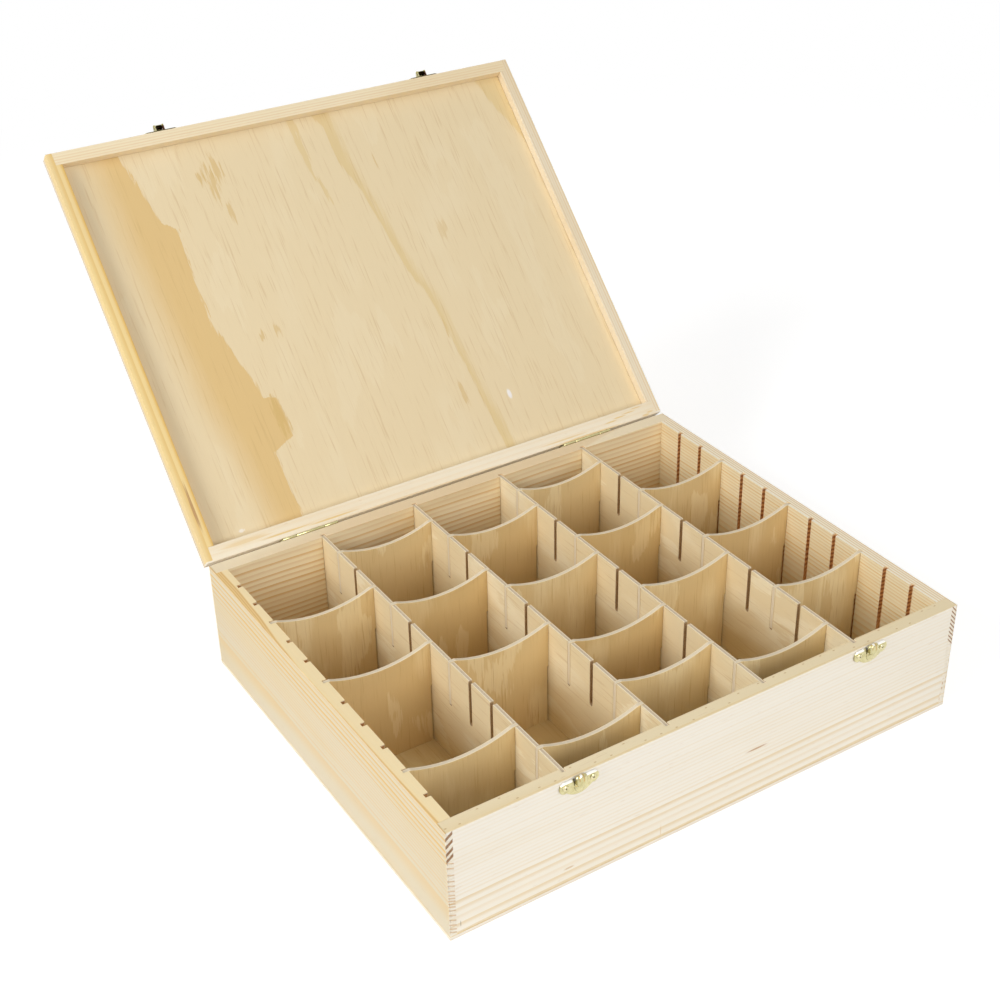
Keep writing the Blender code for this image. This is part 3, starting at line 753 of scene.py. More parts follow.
@dataclass(frozen=True)
class Veneer:
    """Three-ply pine plywood: veneer faces, and plies that show on its edges."""

    lie: Lie
    middle_mm: float
    thickness_mm: float
    pale: Colour = (0.78, 0.62, 0.39)
    tan: Colour = (0.69, 0.49, 0.25)
    edge_outer: Colour = (0.84, 0.72, 0.55)
    edge_core: Colour = (0.70, 0.57, 0.42)
    core_share: float = 0.34
    cut_below_mm: Optional[float] = None
    figure: float = 0.5
    streaks: float = 0.3
    seed: float = 0.0
    fray_mm: float = 12.0
    streak: Colour = (0.60, 0.39, 0.16)
    glue: Colour = (0.52, 0.36, 0.20)
    scorch: tuple[Colour, Colour] = ((0.56, 0.36, 0.16), (0.36, 0.19, 0.07))
    slow: Noise = Noise((0.009, 0.022, 0.02), 2.0, 0.5, 0)
    ragged: Noise = Noise((0.045, 0.45, 1.0), 3.0, 0.62, 1)
    fibre: Noise = Noise((0.05, 2.6, 2.0), 3.0, 0.65, 0)
    dash: Noise = Noise((0.028, 0.75, 1.0), 2.0, 0.55, 1)
    grit: Noise = Noise((1.3, 1.3, 1.3), 2.0, 0.6, 2)
    specular: float = 0.3
    relief_mm: float = 0.05
    zones: tuple[Zone, ...] = ()
    marks: tuple[Mark, ...] = ()

    def material(self, name: str) -> bpy.types.Material:
        """Make the material.

        Args:
            name: Its name.

        Returns:
            The material.
        """
        canvas = Canvas(name, self.pale)
        lying = self.lie.order(canvas.place)
        along, across, through = lying
        layers = (self.slow, self.ragged, self.fibre, self.dash)
        slow, ragged, fibre, dash = (layer.on(canvas.graph, lying, self.seed) for layer in layers)
        step = (slow * 3.2 + (ragged - 0.5) * 0.5).fraction()
        canvas.lay(step.rise(0.05, 0.5) * step.rise(1.0, 0.94) * self.figure, self.tan)
        fray = (ragged - 0.5) * self.fray_mm
        for zone in self.zones:
            inner = (across - along.follow(zone.low_edge) + fray * 0.6).rise(0.0, zone.low_feather)
            outer = (along.follow(zone.high_edge) - across + fray).rise(0.0, zone.high_feather)
            canvas.lay(inner * outer * zone.strength, zone.colour)
        canvas.lay(dash.rise(0.56, 0.74) * self.streaks, self.streak)
        for mark in self.marks:
            mark.lay(canvas, ragged)
        off = abs(through - self.middle_mm)
        half = self.thickness_mm / 2
        canvas.lay(off.rise(half - 0.12, half - 0.30), self._plies(canvas, off))
        canvas.shade(0.96 + fibre * 0.08)
        relief = fibre * 0.7 + dash * 0.3
        return canvas.close(0.55 + fibre * 0.12, relief, self.relief_mm, Specular_IOR_Level=self.specular)

    def _plies(self, canvas: Canvas, off: Signal) -> bpy.types.NodeSocket:
        """The cut edge: pale outer plies, a rougher core, glue between them, and scorch down in the slots.

        Args:
            canvas: The material.
            off: Millimetres from the middle of the sheet.

        Returns:
            The colour of the edge.
        """
        graph = canvas.graph
        core_mm = self.thickness_mm / 2 * self.core_share
        grit = self.grit.on(graph, canvas.place, self.seed)
        core = graph.blend(grit.rise(0.40, 0.8) * 0.5, self.edge_core, self.edge_outer)
        edge = graph.blend(off.rise(core_mm + 0.08, core_mm - 0.08) * 0.9, self.edge_outer, core)
        glue = off.rise(core_mm - 0.22, core_mm) * off.rise(core_mm + 0.22, core_mm)
        edge = graph.blend(glue * 0.35, edge, self.glue)
        if self.cut_below_mm is not None:
            cut = canvas.place[2].rise(self.cut_below_mm - 0.1, self.cut_below_mm - 1.2)
            edge = graph.blend(cut * 0.75, edge, graph.blend(grit.rise(0.40, 0.62), *self.scorch))
        return edge


@dataclass(frozen=True)
class PaintedBlock:
    """A box-shaped share of a brass piece painted with light or shade: a highlight, a reflection tone or a dark
    gap, in millimetres of the closed box.
    """

    low: Place
    high: Place
    colour: Colour
    strength: float = 0.95
    soft: float = 0.12

    def lay(self, canvas: Canvas) -> None:
        """Lay the painted light or shade over a material's colour.

        Args:
            canvas: The material.
        """
        mask: Operand = self.strength
        for at, low, high in zip(canvas.place, self.low, self.high):
            within = at.rise(low - self.soft, low + self.soft) * at.rise(high + self.soft, high - self.soft)
            mask = within * mask
        canvas.lay(mask, self.colour)


@dataclass(frozen=True)
class Brass:
    """Polished yellow brass with faint scratches and dull spots, and painted shade that darkens its hollows almost
    to black.
    """

    bright: Colour = (0.60, 0.55, 0.31)
    deep: Colour = (0.46, 0.40, 0.18)
    # Near-black painted shade for the hollows that ambient occlusion finds.
    hollow_shade: Colour = (0.045, 0.025, 0.008)
    spot: Colour = (0.42, 0.27, 0.09)
    gloss: float = 0.09
    relief_mm: float = 0.012
    cloud: Noise = Noise((0.35, 0.35, 0.35), 3.0, 0.6, 0)
    scratch: Noise = Noise((0.5, 9.0, 9.0), 2.0, 0.7, 1)
    spots: Noise = Noise((2.1, 2.1, 2.1), 2.0, 0.6, 2)
    seed: float = 0.0
    shade_reach: float = 0.003
    # Painted highlights, reflection tones and shade laid over the brass.
    painted_blocks: tuple[PaintedBlock, ...] = ()

    def material(self, name: str) -> bpy.types.Material:
        """Make the material.

        Args:
            name: Its name.

        Returns:
            The material.
        """
        canvas = Canvas(name, self.bright)
        layers = (self.cloud, self.scratch, self.spots)
        cloud, scratch, spots = (layer.on(canvas.graph, canvas.place, self.seed) for layer in layers)
        canvas.lay(cloud.rise(0.35, 0.75) * 0.6, self.deep)
        canvas.lay(spots.rise(0.66, 0.80) * 0.30, self.spot)
        settings = {"samples": 6, "only_local": True}
        near = canvas.graph.node("ShaderNodeAmbientOcclusion", settings, {"Distance": self.shade_reach})
        open_share = Signal(canvas.graph, near.outputs["AO"])
        # Painted shade: where ambient occlusion finds a hollow, the colour goes almost to black.
        canvas.lay(open_share.rise(0.88, 0.40) * 0.95, self.hollow_shade)
        # Lay the painted highlights, reflection tones and shade.
        for block in self.painted_blocks:
            block.lay(canvas)
        roughness = self.gloss + scratch * 0.10 + cloud.rise(0.45, 0.8) * 0.10
        return canvas.close(roughness, scratch * 0.6 + cloud * 0.4, self.relief_mm, Metallic=1.0)


class Piece:
    """Ways to turn CAD nodes and bmeshes into dressed pieces."""

    @staticmethod
    def add(
        name: str,
        data: bpy.types.Mesh,
        body: str,
        material: bpy.types.Material,
        slot: str,
        nodes: Sequence[str],
        matrix: Optional[Matrix] = None,
    ) -> bpy.types.Object:
        """Put a mesh in the scene and on its body.

        Args:
            name: The piece's name.
            data: Its mesh.
            body: The CAD body it rides on.
            material: Its finish.
            slot: The record's material slot; not used.
            nodes: The CAD nodes it stands for.
            matrix: Where it stands at rest.

        Returns:
            The piece.
        """
        piece = bpy.data.objects.new(name, data)
        bpy.context.scene.collection.objects.link(piece)
        piece.matrix_world = matrix or Matrix.Identity(4)
        data.materials.clear()
        data.materials.append(material)
        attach(piece, body)
        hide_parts(*nodes)
        log.info("%s rides on %s", name, body)
        return piece

    @staticmethod
    def fit_boards(work: bmesh.types.BMesh) -> None:
        """Bring the back faces of boards near the hinge axis and draw their glue lines together.

        Args:
            work: A board in the closed box.
        """
        for vert in work.verts:
            if vert.co.y > BACK_FACE - 0.0001:
                vert.co.y += BACK_SWELL
            for axis, found, wanted in GLUE_LINES:
                if abs(abs(vert.co[axis]) - found) < 0.00002:
                    vert.co[axis] = math.copysign(wanted, vert.co[axis])

    @staticmethod
    def copy_of(
        node: str, radius: float, shortest: float, opened: Optional[Matrix] = None, board: bool = True
    ) -> bpy.types.Mesh:
        """Copy a CAD node's mesh with its long arrises rounded.

        Args:
            node: The node.
            radius: Radius of the rounding.
            shortest: Edges shorter than this stay sharp.
            opened: The matrix that the piece will have, which is taken out of the mesh.
            board: Whether it is a board of the carcass or the lid.

        Returns:
            The new mesh.
        """
        work = bmesh.new()
        work.from_mesh(frame["nodes"][node].data)
        bmesh.ops.remove_doubles(work, verts=work.verts, dist=1e-6)
        if opened is not None:
            bmesh.ops.transform(work, matrix=opened.inverted(), verts=work.verts)
        if board:
            Piece.fit_boards(work)
        flat = math.radians(0.4)
        bmesh.ops.dissolve_limit(work, angle_limit=flat, verts=work.verts, edges=work.edges)
        sharp = math.radians(35)
        chosen = [
            edge
            for edge in work.edges
            if edge.is_manifold and edge.calc_face_angle(0.0) > sharp and edge.calc_length() > shortest
        ]
        if radius > 0:
            bmesh.ops.bevel(
                work,
                geom=chosen,
                offset=radius,
                offset_type="OFFSET",
                segments=2,
                profile=0.5,
                affect="EDGES",
                clamp_overlap=True,
            )
        data = bpy.data.meshes.new(node + "_soft")
        work.to_mesh(data)
        work.free()
        return data


@dataclass
class Carcass:
    """The four comb-jointed walls and the plywood bottom."""

    arris: float = 0.0003
    shortest: float = 0.030
    wall_inner_mm: float = 200.0
    end_inner_mm: float = 160.5
    groove_mm: float = 3.5

    @staticmethod
    def fine_lines(places: Sequence[float], half: float) -> Curve:
        """A curve that peaks at some distances from the middle of the box.

        Args:
            places: The distances in millimetres.
            half: Half the width of one peak's top.

        Returns:
            The curve's points.
        """
        points = [(199.0, 0.0)]
        for at in places:
            points += [(at - half - 0.25, 0.0), (at - half, 1.0), (at + half, 1.0), (at + half + 0.25, 0.0)]
        return (*points, (211.0, 0.0))

    def finishes(self) -> dict[str, Pine]:
        """Finish of each wall.

        Returns:
            Wall name to finish.
        """
        side_groove = (self.wall_inner_mm, self.wall_inner_mm + self.groove_mm)
        end_groove = (self.end_inner_mm, self.end_inner_mm + self.groove_mm)
        straw = (0.97, 0.88, 0.67)
        left_lines = (63.8, 59.7, 54.2, 49.1, 45.3, 40.9, 37.5, 35.1, 32.7, 30.3, 27.9, 24.9, 20.8, 16.7)
        left_comb = Comb(-1.0, 0.78, (85.5, 79.3, 73.0, 67.8), 1.15, (*left_lines, 12.6, 9.2, 6.5))
        right_comb = Comb(1.0, 1.2, (86.3, 82.6, 79.0, 75.5, 72.0, 68.5, 65.0, 61.5, 58.2), 0.42)
        return {
            "front": Pine(
                Lie.ALONG_X, (-60.0, -150.0), ((50.0, 0.0), (96.0, 7.4), (155.0, 27.0)),
                early=(0.92, 0.86, 0.75), late=(0.78, 0.59, 0.31), warm=(0.89, 0.80, 0.64),
                bold=((0.0, 0.60), (33.0, 0.58), (36.0, 0.26), (89.0, 0.22)),
                wander_mm=0.9, warmth=0.25, seed=3.1, groove_mm=end_groove,
                rim_dots=True, rim_tint=straw, combs=(left_comb, right_comb), marks=self.front_marks(),
            ),
            "back": Pine(
                Lie.ALONG_X, (-80.0, 175.0), ((70.0, 0.0), (175.0, 23.0)),
                early=(0.91, 0.79, 0.57), late=(0.70, 0.42, 0.14),
                bold=((0.0, 0.70), (89.0, 0.62)),
                wander_mm=2.2, seed=11.7, groove_mm=end_groove, inner_shade=(1.0, 0.93, 0.76),
                rim_tint=(1.0, 0.97, 0.90), rim_plain=0.3,
            ),
            "left": Pine(
                Lie.ALONG_Y, (-10.0, -330.0),
                ((108.0, 0.0), (126.5, 3.0), (141.5, 14.0), (156.0, 19.2), (178.0, 26.0)),
                early=(0.735, 0.645, 0.475), late=(0.76, 0.49, 0.15), warm=(0.75, 0.61, 0.37),
                bold=((0.0, 0.30), (28.0, 0.36), (36.0, 0.45), (58.0, 0.50), (66.0, 0.95), (89.0, 0.95)),
                wander_mm=2.0, warmth=0.5, seed=21.3, groove_mm=side_groove, end_mm=171.0,
                rim_tint=(1.0, 0.97, 0.90), rim_pale=(0.98, 0.80, 0.475), rim_plain=0.92,
                rim_band=(
                    (-171.0, 207.4), (-110.0, 208.6), (20.0, 209.6), (60.0, 208.2),
                    (90.0, 205.6), (130.0, 204.4), (172.0, 205.0),
                ),
                combs=(left_comb,),
            ),
            "right": Pine(
                Lie.ALONG_Y, (-20.0, 310.0), ((95.0, 0.0), (128.0, 14.0), (152.0, 27.0), (175.0, 40.0)),
                early=(0.93, 0.83, 0.61), late=(0.78, 0.51, 0.18),
                bold=((0.0, 0.40), (45.0, 0.45), (55.0, 0.75), (89.0, 0.72)),
                wander_mm=1.4, seed=33.9, groove_mm=side_groove, groove_fade=2.6, end_mm=171.0,
                rim_tint=(1.0, 0.98, 0.94), inner_shade=(1.0, 0.96, 0.84), rim_pale=(1.0, 0.93, 0.76),
                rim_plain=0.85, rim_lines=self.fine_lines((202.5, 204.9, 207.1, 209.2), 0.40),
                combs=(right_comb,),
            ),
        }

    @staticmethod
    def front_marks() -> tuple[Mark, ...]:
        """Streaks and flecks of the front wall.

        Returns:
            The marks.
        """
        face = FRONT_FACE * MM
        flecks = (
            ((31.5, face, 42.0), (12.0, 4.0, 0.9), (0.52, 0.28, 0.10), 0.85, 0.35),
            ((-48.0, face, 9.0), (0.45, 2.0, 6.5), (0.74, 0.52, 0.26), 0.6, 0.1),
            ((-121.0, face, 14.5), (4.5, 3.0, 0.9), (0.62, 0.38, 0.14), 0.6, 0.3),
            ((-202.0, face, 11.0), (0.5, 2.0, 3.0), (0.35, 0.27, 0.20), 0.7, 0.2),
            ((206.3, face, 20.0), (0.8, 2.0, 7.5), (0.60, 0.38, 0.20), 0.75, 0.4),
            ((208.9, face, 22.0), (0.7, 2.0, 9.0), (0.70, 0.48, 0.24), 0.7, 0.5),
            ((205.2, face, 8.5), (0.6, 2.0, 5.0), (0.70, 0.48, 0.24), 0.7, 0.4),
            ((-20.0, -169.7, 89.0), (270.0, 0.75, 1.2), (0.84, 0.64, 0.32), 0.7, 0.5),
        )
        return tuple(Mark(*fleck) for fleck in flecks)

    def build(self) -> None:
        """Build and dress the walls and the bottom."""
        for side, finish in self.finishes().items():
            node = side + "_wall"
            data = Piece.copy_of(node, self.arris, self.shortest)
            Piece.add(node + "_board", data, "box", finish.material(node + "_pine"), "pine_board", [node])
        ply = Veneer(
            Lie.FLAT_Y, 1.6, 3.2,
            pale=(0.80, 0.64, 0.34), tan=(0.68, 0.47, 0.20),
            edge_outer=(0.93, 0.87, 0.77), edge_core=(0.91, 0.84, 0.72),
            figure=0.6, streaks=0.6, seed=5.0,
        )
        data = Piece.copy_of("bottom_panel", self.arris, self.shortest)
        finish = ply.material("bottom_plywood")
        Piece.add("bottom_sheet", data, "box", finish, "panel_plywood", ["bottom_panel"])


@dataclass
class Lid:
    """The comb-jointed lid frame and its plywood panel, built closed and swung open."""

    arris: float = 0.0003
    shortest: float = 0.030

    def finishes(self) -> dict[str, Pine]:
        """Finish of each rail.

        Returns:
            Rail name to finish.
        """
        cut = Mark((-204.5, 128.0, 89.5), (1.6, 24.0, 3.0), (0.42, 0.20, 0.08), 0.75, 0.35)
        return {
            "front": Pine(
                Lie.ALONG_X, (93.0, -260.0), ((80.0, 0.0), (105.0, 11.0)),
                early=(0.91, 0.78, 0.54), late=(0.78, 0.52, 0.26),
                bold=((80.0, 0.45), (100.0, 0.45)), wander_mm=1.6, seed=41.0,
            ),
            "back": Pine(
                Lie.ALONG_X, (93.0, 260.0), ((80.0, 0.0), (105.0, 5.5)),
                early=(0.92, 0.82, 0.64), late=(0.82, 0.58, 0.27),
                bold=((80.0, 0.16), (100.0, 0.16)), wander_mm=4.5, seed=52.0, marks=self.back_streaks(),
            ),
            "left": Pine(
                Lie.ALONG_Y, (93.0, -262.0), ((46.0, 0.0), (66.0, 3.6)),
                early=(0.88, 0.67, 0.31), late=(0.74, 0.46, 0.12),
                bold=((80.0, 0.85), (100.0, 0.85)), wander_mm=3.0, seed=63.0, end_mm=171.0, marks=(cut,),
            ),
            "right": Pine(
                Lie.ALONG_Y, (93.0, 270.0), ((55.0, 0.0), (75.0, 8.5)),
                early=(0.88, 0.77, 0.58), late=(0.76, 0.52, 0.24),
                bold=((80.0, 0.55), (100.0, 0.55)), wander_mm=1.5, seed=74.0, end_mm=171.0,
            ),
        }

    @staticmethod
    def back_streaks() -> tuple[Mark, ...]:
        """Ochre streaks of the lid's back rail.

        Returns:
            The marks.
        """
        under = 89.5
        ochre = (0.80, 0.56, 0.22)
        streaks = [
            ((-176.0, 165.0), (26.0, 2.2), 0.55),
            ((-142.0, 168.2), (26.0, 0.9), 0.85),
            ((-104.0, 169.1), (28.0, 0.9), 0.85),
            ((-20.0, 171.6), (110.0, 0.7), 0.5),
            ((112.0, 168.8), (30.0, 0.9), 0.6),
            ((135.0, 171.6), (45.0, 1.2), 0.7),
            ((160.0, 167.2), (8.0, 0.8), 0.75),
            ((169.0, 165.6), (8.5, 0.9), 0.8),
            ((179.0, 164.2), (8.5, 0.8), 0.8),
            ((188.0, 162.4), (7.5, 0.7), 0.7),
            ((194.5, 171.0), (5.0, 1.2), 0.7),
            ((199.5, 169.3), (4.5, 1.0), 0.7),
        ]
        return tuple(Mark((*at, under), (*half, 2.4), ochre, strength, 0.3) for at, half, strength in streaks)

    def zones(self) -> tuple[Zone, ...]:
        """Streaks of the panel's veneer, as places across at places along.

        Returns:
            The streaks.
        """
        wide = Zone(
            (
                (-171.0, -194.0), (-85.0, -192.0), (-20.0, -187.0),
                (52.0, -182.0), (90.0, -174.0), (171.0, -166.0),
            ),
            (
                (-171.0, -155.0), (-135.0, -147.0), (-99.0, -139.5), (-90.0, -128.8), (-50.0, -130.8),
                (-5.0, -132.0), (12.0, -127.0), (40.0, -119.5), (60.0, -115.8), (63.0, -105.8),
                (96.0, -104.5), (104.0, -124.0), (171.0, -122.0),
            ),
            36.0, 1.6, 0.90, (0.75, 0.52, 0.22),
        )
        middle = Zone(
            (
                (-171.0, 10.0), (-148.0, 21.8), (-115.0, 23.0), (-85.0, 31.8), (-47.0, 36.8),
                (-10.0, 41.8), (15.0, 50.5), (52.0, 55.5), (115.0, 59.2), (171.0, 63.5),
            ),
            (
                (-171.0, 36.0), (-115.0, 38.0), (-47.0, 49.0), (-10.0, 54.0),
                (15.0, 63.0), (90.0, 68.0), (171.0, 79.0),
            ),
            1.8, 9.0, 0.5,
        )
        thin = Zone(
            ((-171.0, -9.0), (-110.0, -4.5), (-82.0, 2.5), (-76.0, 6.0), (171.0, 6.0)),
            (
                (-171.0, -1.0), (-135.0, 0.5), (-110.0, -0.8), (-100.0, 3.5),
                (-82.0, 5.2), (-76.0, 5.0), (171.0, 0.0),
            ),
            1.2, 1.2, 0.45,
        )
        corner = Zone(
            ((-171.0, 172.0), (-135.0, 183.0), (-110.0, 194.0), (-95.0, 200.0), (171.0, 216.0)),
            ((-171.0, 212.0), (171.0, 212.0)),
            2.5, 2.0, 0.5,
        )
        return (wide, middle, thin, corner)

    def knots(self) -> tuple[Mark, ...]:
        """Knot shadows and the filled spot of the panel.

        Returns:
            The marks.
        """
        face = 97.5
        tone = (0.68, 0.46, 0.17)
        gap_shade = [
            ((-96.5, -128.0), (4.0, 8.5), 0.65),
            ((-80.0, -132.0), (5.0, 12.5), 0.6),
            ((-87.5, -118.0), (4.5, 20.0), 0.6),
            ((-82.5, -97.0), (3.2, 13.0), 0.55),
            ((-98.0, 13.0), (2.6, 5.5), 0.6),
            ((-83.5, 9.0), (3.4, 6.5), 0.55),
            ((-109.0, 78.0), (5.0, 20.0), 0.75),
            ((55.0, 47.0), (1.6, 11.0), 0.5),
            ((46.5, 105.0), (2.2, 11.0), 0.5),
            ((90.0, -38.0), (4.5, 9.0), 0.35),
            ((55.0, -112.0), (1.2, 13.0), 0.55),
        ]
        marks = [Mark((*at, face), (*half, 3.6), tone, strength, 0.9) for at, half, strength in gap_shade]
        marks.append(Mark((85.5, 116.0, face), (2.4, 5.4, 3.0), (0.93, 0.88, 0.84), 1.0, 0.12))
        marks.append(Mark((-173.0, 155.0, face), (3.5, 1.6, 3.0), (0.93, 0.88, 0.82), 0.7, 0.5))
        return tuple(marks)

    def build(self) -> None:
        """Build and dress the rails and the panel."""
        for side, finish in self.finishes().items():
            node = "lid_%s_rail" % side
            data = Piece.copy_of(node, self.arris, self.shortest, LID_OPENED)
            material = finish.material(node + "_pine")
            Piece.add(node + "_board", data, "lid", material, "pine_board", [node], LID_OPENED)
        ply = Veneer(
            Lie.FLAT_Y, 99.5, 4.0,
            pale=(0.845, 0.70, 0.455), tan=(0.76, 0.57, 0.30),
            figure=0.16, streaks=0.34, seed=8.0, zones=self.zones(), marks=self.knots(),
        )
        data = Piece.copy_of("lid_panel", self.arris, self.shortest, LID_OPENED)
        finish = ply.material("lid_plywood")
        Piece.add("lid_sheet", data, "lid", finish, "panel_plywood", ["lid_panel"], LID_OPENED)


@dataclass
class DividerGrid:
    """Four long dividers and the cross dividers between them."""

    arris: float = 0.0002
    shortest: float = 0.0012
    top_mm: float = 88.3
    thickness_mm: float = 3.2
    tones: tuple[Colour, ...] = (
        (0.85, 0.67, 0.37), (0.80, 0.61, 0.32), (0.84, 0.67, 0.38), (0.79, 0.595, 0.30)
    )
    long_tone: Colour = (0.93, 0.81, 0.56)
    tan_share: Colour = (0.86, 0.78, 0.64)

    def build(self) -> None:
        """Build and dress every divider."""
        bodies = frame["record"]["behaviour"]["bodies"]
        for body, nodes in bodies.items():
            for node in nodes:
                if "divider" in node:
                    self._divider(node, body)

    def _divider(self, node: str, body: str) -> None:
        """Build one divider.

        Args:
            node: Its CAD node.
            body: Its body.
        """
        low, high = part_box(node)
        middle = (low + high) / 2 * MM
        lengthwise = node.startswith("long")
        number = sum(ord(letter) * (place + 1) for place, letter in enumerate(node))
        pale = self.long_tone if lengthwise else self.tones[number % len(self.tones)]
        ply = Veneer(
            Lie.ALONG_Y if lengthwise else Lie.UPRIGHT,
            middle.x if lengthwise else middle.y,
            self.thickness_mm,
            pale=pale,
            tan=tuple(part * share for part, share in zip(pale, self.tan_share)),
            edge_outer=(0.88, 0.77, 0.57),
            edge_core=(0.56, 0.44, 0.31) if lengthwise else (0.77, 0.66, 0.49),
            core_share=0.44,
            cut_below_mm=self.top_mm - 0.2 if lengthwise else None,
            figure=0.55 if lengthwise else 0.75,
            streaks=0.35 if lengthwise else 0.6,
            seed=(number % 97) * 1.37,
        )
        data = Piece.copy_of(node, self.arris, self.shortest, board=False)
        Piece.add(node + "_ply", data, body, ply.material(node + "_plywood"), "divider_plywood", [node])


@dataclass(frozen=True)
class Sheet:
    """A closed outline pressed from sheet metal, with softened edges and round holes."""

    loop: Loop
    low: float
    high: float
    edge: float = 0.00022
    holes: tuple[Place, ...] = ()
    lean: float = 0.0
    lean_up: bool = True
    hole_sides: int = 20

    def _inward(self, distance: float, slope: float) -> Loop:
        """The outline drawn in, further along its flat upper or lower edge.

        Args:
            distance: How far everywhere.
            slope: How much further where the edge faces up or down.

        Returns:
            The smaller outline.
        """
        count = len(self.loop)
        area = sum(
            self.loop[i][0] * self.loop[(i + 1) % count][1] - self.loop[(i + 1) % count][0] * self.loop[i][1]
            for i in range(count)
        )
        turn = 1.0 if area > 0 else -1.0
        drawn = []
        for index, (u, v) in enumerate(self.loop):
            before, after = self.loop[index - 1], self.loop[(index + 1) % count]
            first = Vector((u - before[0], v - before[1])).normalized()
            second = Vector((after[0] - u, after[1] - v)).normalized()
            outward = (Vector((first.y, -first.x)) + Vector((second.y, -second.x))) * turn
            outward.normalize()
            facing = outward.y if self.lean_up else -outward.y
            step = distance + slope * max(0.0, facing) ** 6
            drawn.append((u - outward.x * step, v - outward.y * step))
        return drawn

    def press(self, work: bmesh.types.BMesh, matrix: Matrix) -> None:
        """Add the sheet to a mesh.

        Args:
            work: The mesh.
            matrix: Takes across, up and outward to the closed box.
        """
        soft = self.edge * 0.3
        levels = [
            (self.low, self.edge, 0.0),
            (self.low + soft, soft, 0.0),
            (self.low + self.edge, 0.0, 0.0),
            (self.high - self.edge - self.lean * 0.35, 0.0, 0.0),
            (self.high - soft, soft, self.lean * 0.86),
            (self.high, self.edge, self.lean),
        ]
        outlines = [[(level, self._inward(inset, slope)) for level, inset, slope in levels]]
        for u, v, radius in self.holes:
            hole = [(level, circle((u, v), radius + inset, self.hole_sides)) for level, inset, _ in levels]
            outlines.append(hole)
        caps: tuple[list, list] = ([], [])
        for outline in outlines:
            rows = [flat_ring(work, ring, level, matrix) for level, ring in outline]
            join_rings(work, rows)
            for cap, row in zip(caps, (rows[0], rows[-1])):
                for i, vert in enumerate(row):
                    cap.append(work.edges.get((vert, row[(i + 1) % len(row)])))
        for cap in caps:
            bmesh.ops.triangle_fill(work, use_beauty=True, edges=cap)


class Metal:
    """Ways to shape solid brass."""

    @staticmethod
    def turned(work: bmesh.types.BMesh, profile: Loop, sides: int, matrix: Matrix) -> None:
        """Turn a profile round the outward axis.

        Args:
            work: The mesh.
            profile: Pairs of radius and height; both ends lie on the axis.
            sides: Facets round the axis.
            matrix: Takes the turned piece to its place.
        """
        rows = []
        for radius, height in profile:
            ring = circle((0.0, 0.0), radius, sides) if radius > 0 else [(0.0, 0.0)]
            rows.append(flat_ring(work, ring, height, matrix))
        join_rings(work, rows)

    @staticmethod
    def lofted(work: bmesh.types.BMesh, sections: Sequence[Sequence[Vector]]) -> None:
        """Join closed sections into one closed body.

        Args:
            work: The mesh.
            sections: Rings of equal length, in order.
        """
        rows = [[work.verts.new(point) for point in section] for section in sections]
        join_rings(work, rows)
        work.faces.new(list(reversed(rows[0])))
        work.faces.new(rows[-1])

    @staticmethod
    def mesh(name: str, work: bmesh.types.BMesh, smooth_below: float = 40.0) -> bpy.types.Mesh:
        """Close the work as a mesh with outward normals and smooth round faces.

        Args:
            name: The mesh's name.
            work: What was shaped; it is freed.
            smooth_below: Edges flatter than this many degrees are smooth.

        Returns:
            The mesh.
        """
        bmesh.ops.recalc_face_normals(work, faces=work.faces)
        limit = math.radians(smooth_below)
        for face in work.faces:
            face.smooth = True
        for edge in work.edges:
            edge.smooth = edge.is_manifold and edge.calc_face_angle(0.0) < limit
        data = bpy.data.meshes.new(name)
        work.to_mesh(data)
        work.free()
        return data


def front_mount(centre_x: float) -> Matrix:
    """Across, up from the rim and out of the front face, as the closed box's axes.

    Args:
        centre_x: Where across is nought.

    Returns:
        The matrix.
    """
    axes = Matrix(((1, 0, 0), (0, 0, -1), (0, 1, 0))).to_4x4()
    return Matrix.Translation((centre_x, FRONT_FACE, RIM)) @ axes


def back_mount(centre_x: float) -> Matrix:
    """Across, up from the hinge axis and out of the back face, as the closed box's axes.

    Args:
        centre_x: Where across is nought.

    Returns:
        The matrix.
    """
    axes = Matrix(((-1, 0, 0), (0, 0, 1), (0, 1, 0))).to_4x4()
    return Matrix.Translation((centre_x, BACK_FACE, LID_AXIS.z)) @ axes


def side_mount(mount: Matrix) -> Matrix:
    """Axes for profiles drawn as negative outs and heights, with their own outward across.

    Args:
        mount: The mount that they stand on.

    Returns:
        The matrix.
    """
    return mount @ Matrix(((0, 0, 1), (0, 1, 0), (-1, 0, 0))).to_4x4()


